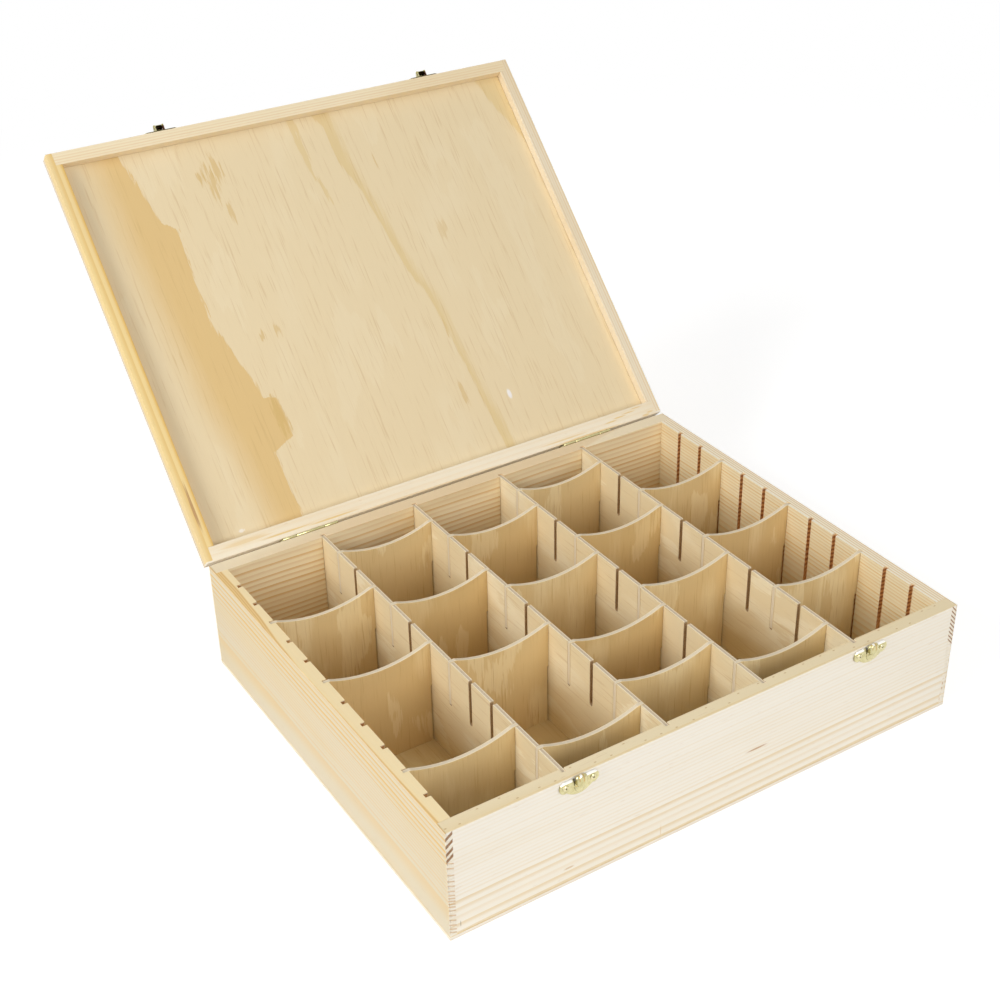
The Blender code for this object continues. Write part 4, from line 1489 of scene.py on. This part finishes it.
@dataclass(frozen=True)
class Screw:
    """A round-headed wood screw with a cross recess."""

    head_radius: float = 0.0022
    head_height: float = 0.0010
    shank_radius: float = 0.0008
    length: float = 0.0068
    tip: float = 0.0016
    recess_reach: float = 0.0012
    recess_half: float = 0.00028
    recess_depth: float = 0.00062
    sides: int = 28

    def profile(self) -> Loop:
        """Half section from the top of the head to the point.

        Returns:
            Pairs of radius and height.
        """
        dome = [
            (self.head_radius * math.sin(math.radians(a)), self.head_height * math.cos(math.radians(a)))
            for a in (0, 12, 26, 40, 53, 65, 76, 85)
        ]
        rim = [(self.head_radius, -0.00002), (self.head_radius * 0.94, -0.00010)]
        shank = [(self.shank_radius, -0.00012), (self.shank_radius, self.tip - self.length)]
        return dome + rim + shank + [(0.0, -self.length)]

    def mesh(self) -> bpy.types.Mesh:
        """Turn the screw and cut its recess.

        Returns:
            The mesh, its head facing +Z.
        """
        work = bmesh.new()
        Metal.turned(work, self.profile(), self.sides, Matrix.Identity(4))
        body = bpy.data.objects.new("screw_body", Metal.mesh("screw_body", work, 50.0))
        cross = bmesh.new()
        reach, half = self.recess_reach, self.recess_half
        arm = [(half, half), (half, reach), (-half, reach)]
        quarters = ((1, 0), (0, 1), (-1, 0), (0, -1))
        star = [(u * c - v * s, u * s + v * c) for c, s in quarters for u, v in arm]
        low, high = self.head_height - self.recess_depth, self.head_height * 1.5
        deep = [Vector((u * 0.55, v * 0.55, low)) for u, v in star]
        Metal.lofted(cross, (deep, [Vector((u * 1.15, v * 1.15, high)) for u, v in star]))
        cutter = bpy.data.objects.new("screw_recess", Metal.mesh("screw_recess", cross))
        for thing in (body, cutter):
            bpy.context.scene.collection.objects.link(thing)
        cut = body.modifiers.new("recess", "BOOLEAN")
        cut.operation = "DIFFERENCE"
        cut.solver = "EXACT"
        cut.object = cutter
        evaluated = body.evaluated_get(bpy.context.evaluated_depsgraph_get())
        data = bpy.data.meshes.new_from_object(evaluated)
        for thing in (body, cutter):
            bpy.data.objects.remove(thing)
        return data


@dataclass
class Hinge:
    """A butt hinge: two leaves, rolled knuckles and a headed pin."""

    side: str
    centre_x: float
    finish: bpy.types.Material
    length: float = 0.0467
    end_knuckle: float = 0.0112
    knuckle_gap: float = 0.0003
    barrel: float = 0.00105
    bore: float = 0.00070
    pin: float = 0.00060
    thickness: float = 0.0010
    leaf_out: float = BACK_SWELL + GLUE_GAP
    axis_out: float = LID_AXIS.y - BACK_FACE
    box_reach: float = 0.0125
    lid_reach: float = 0.0105
    screw_spacing: float = 0.030
    box_screw: float = -0.0074
    lid_screw: float = 0.0056
    hole: float = 0.0012

    def build(self) -> None:
        """Build and dress the leaves and the pin."""
        mount = back_mount(self.centre_x)
        edge = self.length / 2 - self.end_knuckle
        outer = [(-self.length / 2, -edge), (edge, self.length / 2)]
        inner = [(-edge + self.knuckle_gap, edge - self.knuckle_gap)]
        self._leaf("box", mount, outer, -self.box_reach, self.box_screw, None)
        self._leaf("lid", mount, inner, self.lid_reach, self.lid_screw, LID_OPENED)
        work = bmesh.new()
        half = self.length / 2 - 0.0001
        head = [(0.0, half + 0.0004), (0.0006, half + 0.0003), (0.0009, half + 0.0001)]
        head += [(0.0009, half), (self.pin, half)]
        foot = [(radius, -height) for radius, height in reversed(head)]
        turn = side_mount(mount @ Matrix.Translation((0, 0, self.axis_out)))
        Metal.turned(work, head + foot, 24, turn)
        node = "hinge_%s_pin" % self.side
        Piece.add(node + "_rod", Metal.mesh(node, work), "box", self.finish, "brass", [node])

    def seats(self) -> list[tuple[str, str, Matrix]]:
        """Places of its screws.

        Returns:
            Name, body and matrix of each, from the left.
        """
        found = []
        for body, up in (("box", self.box_screw), ("lid", self.lid_screw)):
            for side in SIDES:
                mount = back_mount(self.centre_x + side * self.screw_spacing / 2)
                out = self.leaf_out + self.thickness + 0.00005
                found.append(("hinge_screw_" + body, body, mount @ Matrix.Translation((0.0, up, out))))
        return found

    def _leaf(
        self,
        body: str,
        mount: Matrix,
        knuckles: Sequence[Pair],
        reach: float,
        screw_up: float,
        matrix: Optional[Matrix],
    ) -> None:
        """Build one leaf with its knuckles.

        Args:
            body: The body it rides on, which is also its part of the name.
            mount: The hinge's mount.
            knuckles: Ends of its knuckles across.
            reach: How far its far edge lies from the axis; the sign gives the side.
            screw_up: Height of its screws from the axis.
            matrix: Where it stands at rest, if not as modelled.
        """
        work = bmesh.new()
        sign = math.copysign(1.0, reach)
        half = self.length / 2
        near = sign * (self.barrel + self.knuckle_gap + 0.0002)
        corner = 0.0010
        link = self.bore + 0.00005
        far = reach - sign * corner
        bend, bend_up = corner * 0.3, reach - sign * corner * 0.3
        points: Loop = [(-half, near), (-half, far), (-half + bend, bend_up), (-half + corner, reach)]
        points += [(half - corner, reach), (half - bend, bend_up), (half, far), (half, near)]
        for low, high in reversed(list(knuckles)):
            points += [(high, near), (high, sign * link), (low, sign * link), (low, near)]
        points = [p for i, p in enumerate(points) if p != points[i - 1]]
        holes = tuple((s * self.screw_spacing / 2, screw_up, self.hole) for s in SIDES)
        Sheet(points, self.leaf_out, self.leaf_out + self.thickness, 0.00015, holes).press(work, mount)
        axis_out = self.axis_out
        seam = 50 * sign
        roll = arc((-axis_out, 0.0), self.barrel, seam + 9, seam + 351, 38)
        inner = [((u + axis_out) * 0.86 - axis_out, v * 0.86) for u, v in (roll[-1], roll[0])]
        barrel_mount = side_mount(mount)
        for low, high in knuckles:
            hole = ((-axis_out, 0.0, self.bore),)
            Sheet(roll + inner, low + 0.00005, high - 0.00005, 0.00010, hole).press(work, barrel_mount)
        node = "hinge_%s_%s_leaf" % (self.side, body)
        Piece.add(node + "_plate", Metal.mesh(node, work), body, self.finish, "brass", [node], matrix)


@dataclass
class Latch:
    """A small lever latch: catch plate with a hooked tongue, lid plate with ears, and a hollow lever."""

    side: str
    centre_x: float
    finish: Brass
    plate: float = 0.0009
    width: float = 0.0298
    lobe: float = 0.0046
    hole: float = 0.0012
    catch_drop: float = 0.0012
    catch_height: float = 0.0130
    catch_lean: float = 0.0016
    strike_rise: float = 0.0013
    strike_height: float = 0.0096
    strike_lean: float = 0.00030
    hook_width: float = 0.0074
    pivot_out: float = 0.0048
    pivot_rise: float = 0.0043
    pin: float = 0.0007
    face_out: float = 0.0066
    sheet: float = 0.0008
    lever_width: float = 0.0092
    neck_width: float = 0.0046
    neck_drop: float = 0.0041
    end_drop: float = 0.0065
    lip_out: float = 0.0028
    lip_thickness: float = 0.0011
    thumb: float = 0.0014
    ear_gap: float = 0.0007
    ear_thickness: float = 0.0011
    ear_low: float = 0.0028
    ear_out: float = 0.0069
    ear_high: float = 0.0100
    nose_back: float = 0.0015
    nose_top: float = 0.0022
    eye: float = 0.0020

    def plate_loop(self, flat: float, height: float, direction: float) -> Loop:
        """A half-moon with a lobe round each screw.

        Args:
            flat: Height of its straight edge from the rim.
            height: How far the belly reaches from there.
            direction: 1 for a belly above the straight edge, -1 for one below it.

        Returns:
            The outline.
        """
        lobe_x = self.width / 2 - self.lobe
        belly_half = lobe_x - 0.0007
        belly_start = 2 * self.lobe - 0.00035
        sagitta = height - belly_start
        radius = (belly_half**2 + sagitta**2) / (2 * sagitta)
        spread = math.degrees(math.asin(belly_half / radius))
        right = arc((lobe_x, self.lobe), self.lobe, -90, 78, 14)
        belly = arc((0, height - radius), radius, 90 - spread, 90 + spread, 22)
        left = arc((-lobe_x, self.lobe), self.lobe, 102, 270, 14)
        return [(u, flat + direction * v) for u, v in right + belly + left]

    def _plate(
        self, work: bmesh.types.BMesh, flat: float, height: float, direction: float, lean: float
    ) -> None:
        """Add a half-moon plate with a bevel along its straight edge.

        Args:
            work: The mesh.
            flat: Height of the straight edge.
            height: How far the belly reaches.
            direction: Which way the belly lies.
            lean: Width of the bevel.
        """
        lobe_x = self.width / 2 - self.lobe
        holes = tuple((s * lobe_x, flat + direction * self.lobe, self.hole) for s in SIDES)
        loop = self.plate_loop(flat, height, direction)
        low, high = GLUE_GAP, GLUE_GAP + self.plate
        sheet = Sheet(loop, low, high, 0.00022, holes, lean, direction < 0)
        sheet.press(work, front_mount(self.centre_x))

    def _tongue(self, work: bmesh.types.BMesh) -> None:
        """Add the domed tongue with its seat and its round nose.

        Args:
            work: The mesh.
        """
        base = GLUE_GAP + self.plate * 0.5
        ledge = -self.end_drop - 0.0004
        seat = self.lip_out - 0.0004
        tip = self.face_out - self.sheet - 0.0005
        sweep = self.pivot_rise + self.end_drop - 0.0013 - 0.0004
        seat_root, seat_tip = (
            self.pivot_rise - math.sqrt(sweep**2 - (out - self.pivot_out) ** 2) for out in (seat, tip)
        )
        half = self.hook_width / 2
        dome_half = 0.00285
        crown_base = -self.catch_drop + 0.0002
        half_nose = (tip - self.nose_back) / 2
        mount = front_mount(self.centre_x)
        stations = 12
        sections = []
        for station in range(-stations, stations + 1):
            share = station / stations
            round_off = math.sqrt(max(0.0, 1 - (share * 0.93) ** 2))
            swell = 0.42 + 0.58 * (1 - abs(share) ** 3.2)
            bluff = 0.80 + 0.20 * (1 - abs(share) ** 4)
            profile = [(base, ledge - 2 * dome_half * round_off)]
            for a in range(-80, 81, 16):
                t = math.radians(a)
                up = ledge - dome_half * round_off * (1 - math.sin(t))
                profile.append((seat - 0.0010 + 0.0010 * math.cos(t), up))
            profile += [(seat, ledge), (seat, seat_root), (tip - 0.0004, seat_tip), (tip, seat_tip + 0.0003)]
            crown_rise = (self.nose_top - crown_base) * (0.35 + 0.65 * round_off)
            for a in range(0, 181, 15):
                t = math.radians(a)
                out = self.nose_back + half_nose * (1 + math.cos(t))
                profile.append((out, crown_base + crown_rise * math.sin(t)))
            profile.append((base, crown_base - 0.0002))
            across = half * share
            section = []
            for out, up in profile:
                share_out = swell if up < ledge + 0.0001 else bluff
                section.append(mount @ Vector((across, up, base + (out - base) * share_out)))
            sections.append(section)
        Metal.lofted(work, sections)

    def _ears(self, work: bmesh.types.BMesh) -> None:
        """Add the two ears and the riveted pin.

        Args:
            work: The mesh.
        """
        base = GLUE_GAP + self.plate * 0.5
        near, top = self.ear_low, self.ear_out
        rise = self.pivot_rise
        loop: Loop = [(base, near), (top - 0.0005, near), (top - 0.0001, near + 0.0002), (top, near + 0.0006)]
        loop += [(top, rise + 0.0005), (top - 0.0006, rise + 0.0013), (base, self.ear_high)]
        turned = [(-out, up) for out, up in loop]
        mount = front_mount(self.centre_x)
        inner = self.neck_width / 2 + self.ear_gap
        for side in SIDES:
            low, high = sorted((side * inner, side * (inner + self.ear_thickness)))
            Sheet(turned, low, high, 0.00016).press(work, side_mount(mount))
        half = inner + self.ear_thickness + 0.0003
        head = [(0.0, half + 0.0002), (0.0006, half + 0.00014), (0.0010, half), (self.pin, half - 0.0003)]
        foot = [(radius, -height) for radius, height in reversed(head)]
        axis = mount @ Matrix.Translation((0, rise, self.pivot_out))
        Metal.turned(work, head + foot, 20, side_mount(axis))

    def _lever(self, work: bmesh.types.BMesh) -> None:
        """Add the hollow lever: face, flanges, lip and eye.

        Args:
            work: The mesh.
        """
        mount = front_mount(self.centre_x)
        low, high = self.face_out - self.sheet, self.face_out
        top = self.pivot_rise
        neck = self.neck_width / 2
        half = self.lever_width / 2
        shoulder = top - self.neck_drop
        corner = half - neck
        end = -self.end_drop
        loop = [(-neck, top - 0.0003), (neck, top - 0.0003)]
        loop += arc((neck, shoulder - corner), corner, 90, 0, 8)
        turns = [math.radians(-a) for a in range(0, 181, 10)]
        loop += [(half * math.cos(t), end + self.thumb * math.sin(t)) for t in turns]
        loop += arc((-neck, shoulder - corner), corner, 180, 90, 8)
        Sheet(loop, low, high, 0.0002).press(work, mount)
        softened = 0.00014
        flange_in = half - 0.0007
        flange_low = self.lip_out - 0.0004
        flange_top = shoulder - corner
        wall = [(-low - 0.0002, end), (-low - 0.0002, flange_top), (-low + 0.0012, flange_top - 0.0004)]
        wall += [(-flange_low, flange_top - 0.0022), (-flange_low, end)]
        for side in SIDES:
            left, right = sorted((side * flange_in, side * (half - 0.00004)))
            Sheet(wall, left, right, softened).press(work, side_mount(mount))
        lip_half, lip_top = flange_in + 0.0001, end + self.lip_thickness
        lip = [(-lip_half, end), (lip_half, end), (lip_half, lip_top), (-lip_half, lip_top)]
        Sheet(lip, self.lip_out, low + 0.0002, softened).press(work, mount)
        eye = arc((-self.pivot_out, top), self.eye, 0, 348, 29)
        bore = ((-self.pivot_out, top, self.pin + 0.0002),)
        Sheet(eye, -neck, neck, softened, bore).press(work, side_mount(mount))

    def seats(self) -> list[tuple[str, str, Matrix]]:
        """Places of its screws.

        Returns:
            Name, body and matrix of each, from the left.
        """
        found = []
        rows = (("box", -self.catch_drop - self.lobe), ("lid", self.strike_rise + self.lobe))
        for body, up in rows:
            for side in SIDES:
                mount = front_mount(self.centre_x + side * (self.width / 2 - self.lobe))
                out = GLUE_GAP + self.plate + 0.00005
                found.append(("latch_screw_" + body, body, mount @ Matrix.Translation((0.0, up, out))))
        return found

    def painted_lights(self) -> dict[str, list[PaintedLight]]:
        """Painted highlights, painted reflection tones and painted shade in the gaps of each piece.

        Returns:
            Piece to ranges across, out and up in millimetres from the latch's middle, the front face and the
            rim, each with its colour and strength.
        """
        # Colours of painted light: two near-blacks for painted shade, white for painted highlights, and gold and
        # amber for painted reflection tones.
        shade_black, gap_shade, white = (0.006, 0.003, 0.001), (0.06, 0.035, 0.012), (0.97, 0.96, 0.92)
        reflected_gold, reflected_amber = (0.40, 0.35, 0.09), (0.50, 0.27, 0.06)
        return {
            # Catch: painted highlight along the bevel and on the nose, painted shade beside the nose and in the
            # groove of the tongue, painted reflection bands on the nose.
            "catch": [
                ([(-15.5, 15.5), (0.0, 1.6), (-2.9, -0.9)], white, 0.95),
                ([(-4.7, -3.7), (0.0, 1.7), (-2.9, -0.8)], gap_shade, 0.85),
                ([(3.0, 4.6), (0.0, 4.5), (-2.6, 0.6)], gap_shade, 0.9),
                ([(-4.0, 4.0), (1.5, 6.0), (-7.6, -6.6)], (0.30, 0.22, 0.07), 0.7),
                ([(-2.6, -1.9), (1.8, 6.0), (-1.5, 3.0)], reflected_amber, 0.6),
                ([(0.4, 1.2), (1.8, 6.0), (-2.5, 3.0)], reflected_amber, 0.7),
                ([(-1.6, 0.0), (1.8, 4.6), (-1.0, 3.0)], white, 0.8),
            ],
            # Lid plate: painted shade along its straight edge and beside the ear, and a painted reflection tone on
            # the ears' outer ends.
            "lid_plate": [
                ([(-15.0, 15.0), (0.0, 1.35), (0.5, 1.75)], (0.11, 0.085, 0.03), 0.92),
                ([(2.8, 4.4), (0.0, 5.6), (2.0, 11.0)], (0.10, 0.02, 0.015), 0.9),
                ([(-4.6, 4.6), (5.5, 7.8), (2.0, 11.0)], reflected_gold, 0.9),
            ],
            # Lever: painted shade filling its hollow and its eye, and a painted reflection tone on one side of the
            # eye.
            "lever": [
                ([(-3.95, 3.95), (0.0, 5.75), (-8.0, 3.0)], shade_black, 0.98),
                ([(-2.5, 2.5), (0.0, 7.2), (4.1, 7.0)], shade_black, 1.0),
                ([(-2.5, 2.5), (0.0, 4.0), (4.2, 7.0)], reflected_gold, 0.95),
            ],
        }

    def _brass(self, node: str, painted_lights: Sequence[PaintedLight]) -> bpy.types.Material:
        """The latch's brass with its painted highlights, reflection tones and painted shade.

        Args:
            node: The CAD node that is dressed.
            painted_lights: What tints gives for it.

        Returns:
            The material.
        """
        painted_blocks = []
        for (across, out, up), colour, strength in painted_lights:
            left, right = (self.centre_x * MM + part for part in across)
            far, near = (FRONT_FACE * MM - part for part in reversed(out))
            bottom, top = (RIM_MM + part for part in up)
            painted_blocks.append(PaintedBlock((left, far, bottom), (right, near, top), colour, strength))
        return replace(self.finish, painted_blocks=tuple(painted_blocks)).material(node + "_brass")

    def _catch(self, work: bmesh.types.BMesh) -> None:
        """Add the plate and the tongue on the box."""
        self._plate(work, -self.catch_drop, self.catch_height, -1, self.catch_lean)
        self._tongue(work)

    def _strike(self, work: bmesh.types.BMesh) -> None:
        """Add the plate and the ears on the lid."""
        self._plate(work, self.strike_rise, self.strike_height, 1, self.strike_lean)
        self._ears(work)

    def build(self) -> None:
        """Build and dress the catch, the lid plate and the lever."""
        pivot = Vector((self.centre_x, FRONT_FACE - self.pivot_out, RIM + self.pivot_rise))
        folded = LID_OPENED @ turned_about(pivot, LEVER_TURN)
        parts = (
            ("catch", "plate", "box", None, self._catch),
            ("lid_plate", "eared", "lid", LID_OPENED, self._strike),
            ("lever", "hollow", "lever_" + self.side, folded, self._lever),
        )
        painted_lights = self.painted_lights()
        for part, ending, body, matrix, shape in parts:
            node = "latch_%s_%s" % (self.side, part)
            work = bmesh.new()
            shape(work)
            data = Metal.mesh(node, work)
            finish = self._brass(node, painted_lights[part])
            Piece.add(node + "_" + ending, data, body, finish, "brass", [node], matrix)


@dataclass
class Furniture:
    """The brass hinges, latches and screws."""

    hinge_x: Pair = (-0.1253, 0.1322)
    latch_x: Pair = (-0.11415, 0.12735)
    screw_turns: tuple[float, ...] = (12.0, 57.0, 33.0, 74.0)

    def build(self) -> None:
        """Build and dress the brass."""
        makers: list[Union[Hinge, Latch]] = []
        for side, hinge_x, latch_x in zip(("left", "right"), self.hinge_x, self.latch_x):
            makers.append(Hinge(side, hinge_x, Brass(seed=hinge_x * 90).material("hinge_%s_brass" % side)))
            makers.append(Latch(side, latch_x, Brass(seed=latch_x * 70, shade_reach=0.0045)))
        for maker in makers:
            maker.build()
        self._screws(makers)

    def _screws(self, makers: Sequence[Union[Hinge, Latch]]) -> None:
        """Drive a screw through every hole.

        Args:
            makers: The hinges and latches.
        """
        finish = Brass(bright=(0.72, 0.66, 0.42), gloss=0.16, seed=3.0).material("screw_brass")
        data = Screw().mesh()
        counts: dict[str, int] = {}
        for maker in makers:
            for prefix, body, seat in maker.seats():
                number = counts[prefix] = counts.get(prefix, 0) + 1
                matrix = seat @ Matrix.Rotation(math.radians(self.screw_turns[number - 1]), 4, "Z")
                if body == "lid":
                    matrix = LID_OPENED @ matrix
                node = "%s_%d" % (prefix, number)
                Piece.add(node + "_turned", data.copy(), body, finish, "brass", [node], matrix)


@dataclass(frozen=True)
class Lamp:
    """A soft box."""

    name: str
    place: Place
    aim: Place
    size: float
    power: float
    colour: Colour = WHITE

    def build(self) -> None:
        """Hang the lamp."""
        data = bpy.data.lights.new(self.name, "AREA")
        data.shape = "SQUARE"
        data.size = self.size
        data.energy = self.power
        data.color = self.colour
        lamp = bpy.data.objects.new(self.name, data)
        bpy.context.scene.collection.objects.link(lamp)
        lamp.location = self.place
        way = Vector(self.aim) - Vector(self.place)
        lamp.rotation_euler = way.to_track_quat("-Z", "Y").to_euler()


@dataclass
class Studio:
    """Floor, lights, world and camera."""

    camera_place: Place = (-0.56131, -0.81358, 0.76637)
    camera_aim: Place = (-0.22644, -0.26908, 0.37552)
    camera_roll: float = -0.02429
    focal_pixels: float = 1654.68
    frame_pixels: float = 1000.0
    sensor_mm: float = 36.0
    clip: Pair = (0.01, 50.0)
    ambient: float = 0.34
    floor_glow: float = 0.45
    floor_fade_mm: Pair = (700.0, 1500.0)
    floor_size: float = 6.0
    floor_drop: float = 0.0002
    speck: Noise = Noise((0.01, 0.01, 0.01))
    lamps: tuple[Lamp, ...] = (
        Lamp("front_box", (0.0, -2.4, 1.1), (0.0, 0.0, 0.1), 1.2, 22.0),
        Lamp("high_box", (0.0, -1.7, 2.0), (0.0, 0.0, 0.1), 1.2, 7.0),
        Lamp("left_box", (-2.2, -0.1, 1.3), (0.0, 0.0, 0.1), 1.2, 36.0),
    )

    def build(self) -> None:
        """Build everything that isn't the box."""
        self._floor()
        self._world()
        for lamp in self.lamps:
            lamp.build()
        self._camera()
        view = bpy.context.scene.view_settings
        view.view_transform = "Standard"

    def _floor(self) -> None:
        """A pale floor that keeps the shadow and reads as white, far off as near."""
        work = bmesh.new()
        bmesh.ops.create_grid(work, x_segments=1, y_segments=1, size=self.floor_size)
        data = bpy.data.meshes.new("floor")
        work.to_mesh(data)
        work.free()
        floor = bpy.data.objects.new("floor", data)
        bpy.context.scene.collection.objects.link(floor)
        floor.location.z = -self.floor_drop
        graph = Graph.named("floor_paper")
        place = graph.place()
        x, y, _ = place
        paper = graph.blend(self.speck.on(graph, place) * 0.3, (0.90, 0.90, 0.90), (0.93, 0.93, 0.93))
        matt = graph.node("ShaderNodeBsdfDiffuse", {}, {"Color": paper, "Roughness": 0.6}).outputs[0]
        glow, white = (
            graph.node("ShaderNodeEmission", {}, {"Color": WHITE, "Strength": strength}).outputs[0]
            for strength in (self.floor_glow, 1.0)
        )
        lifted = graph.node("ShaderNodeAddShader", {}, {0: matt, 1: glow}).outputs[0]
        seen = self._seen(graph)
        near = graph.node("ShaderNodeMixShader", {}, {0: seen, 1: matt, 2: lifted}).outputs[0]
        far = (x * x + y * y).root().rise(*self.floor_fade_mm)
        faded = graph.node("ShaderNodeMixShader", {}, {0: seen * far, 1: near, 2: white})
        graph.node("ShaderNodeOutputMaterial", {}, {0: faded.outputs[0]})
        data.materials.append(graph.owner)
        floor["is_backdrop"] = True

    @staticmethod
    def _seen(graph: "Graph") -> Signal:
        """Whether a ray comes from the camera, a mirror or glass.

        Args:
            graph: The graph to add to.

        Returns:
            1 or 0.
        """
        path = graph.node("ShaderNodeLightPath").outputs
        rays = ("Is Camera Ray", "Is Glossy Ray", "Is Transmission Ray")
        camera, mirror, glass = (Signal(graph, path[name]) for name in rays)
        return camera.most(mirror).most(glass)

    def _world(self) -> None:
        """Even light all round, and white where the camera sees it."""
        world = bpy.data.worlds.new("studio")
        bpy.context.scene.world = world
        graph = Graph(world)
        light, white = (
            graph.node("ShaderNodeBackground", {}, {"Color": WHITE, "Strength": strength}).outputs[0]
            for strength in (self.ambient, 1.0)
        )
        mixed = graph.node("ShaderNodeMixShader", {}, {0: self._seen(graph), 1: light, 2: white})
        graph.node("ShaderNodeOutputWorld", {}, {0: mixed.outputs[0]})

    def _camera(self) -> None:
        """The photograph's camera."""
        data = bpy.data.cameras.new("camera")
        data.sensor_fit = "HORIZONTAL"
        data.sensor_width = self.sensor_mm
        data.lens = self.focal_pixels / self.frame_pixels * self.sensor_mm
        data.clip_start, data.clip_end = self.clip
        camera = bpy.data.objects.new("camera", data)
        bpy.context.scene.collection.objects.link(camera)
        ahead = (Vector(self.camera_aim) - Vector(self.camera_place)).normalized()
        right = ahead.cross(Vector((0, 0, 1))).normalized()
        up = right.cross(ahead)
        cosine, sine = math.cos(self.camera_roll), math.sin(self.camera_roll)
        rolled_right = right * cosine + up * sine
        rolled_up = up * cosine - right * sine
        turn = Matrix((rolled_right, rolled_up, -ahead)).transposed()
        camera.matrix_world = Matrix.Translation(self.camera_place) @ turn.to_4x4()
        bpy.context.scene.camera = camera


def corners() -> list[list[float]]:
    """Lowest and highest corner of what is shown.

    Returns:
        Two corners as plain lists.
    """
    return [list(corner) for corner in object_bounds()]


def main() -> None:
    """Build the scene."""
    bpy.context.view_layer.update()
    for part in (Studio(), Carcass(), Lid(), DividerGrid(), Furniture()):
        log.info("building %s", type(part).__name__)
        part.build()


if __name__ == "__main__":
    logging.basicConfig(level=logging.INFO, format="%(message)s")
    main()
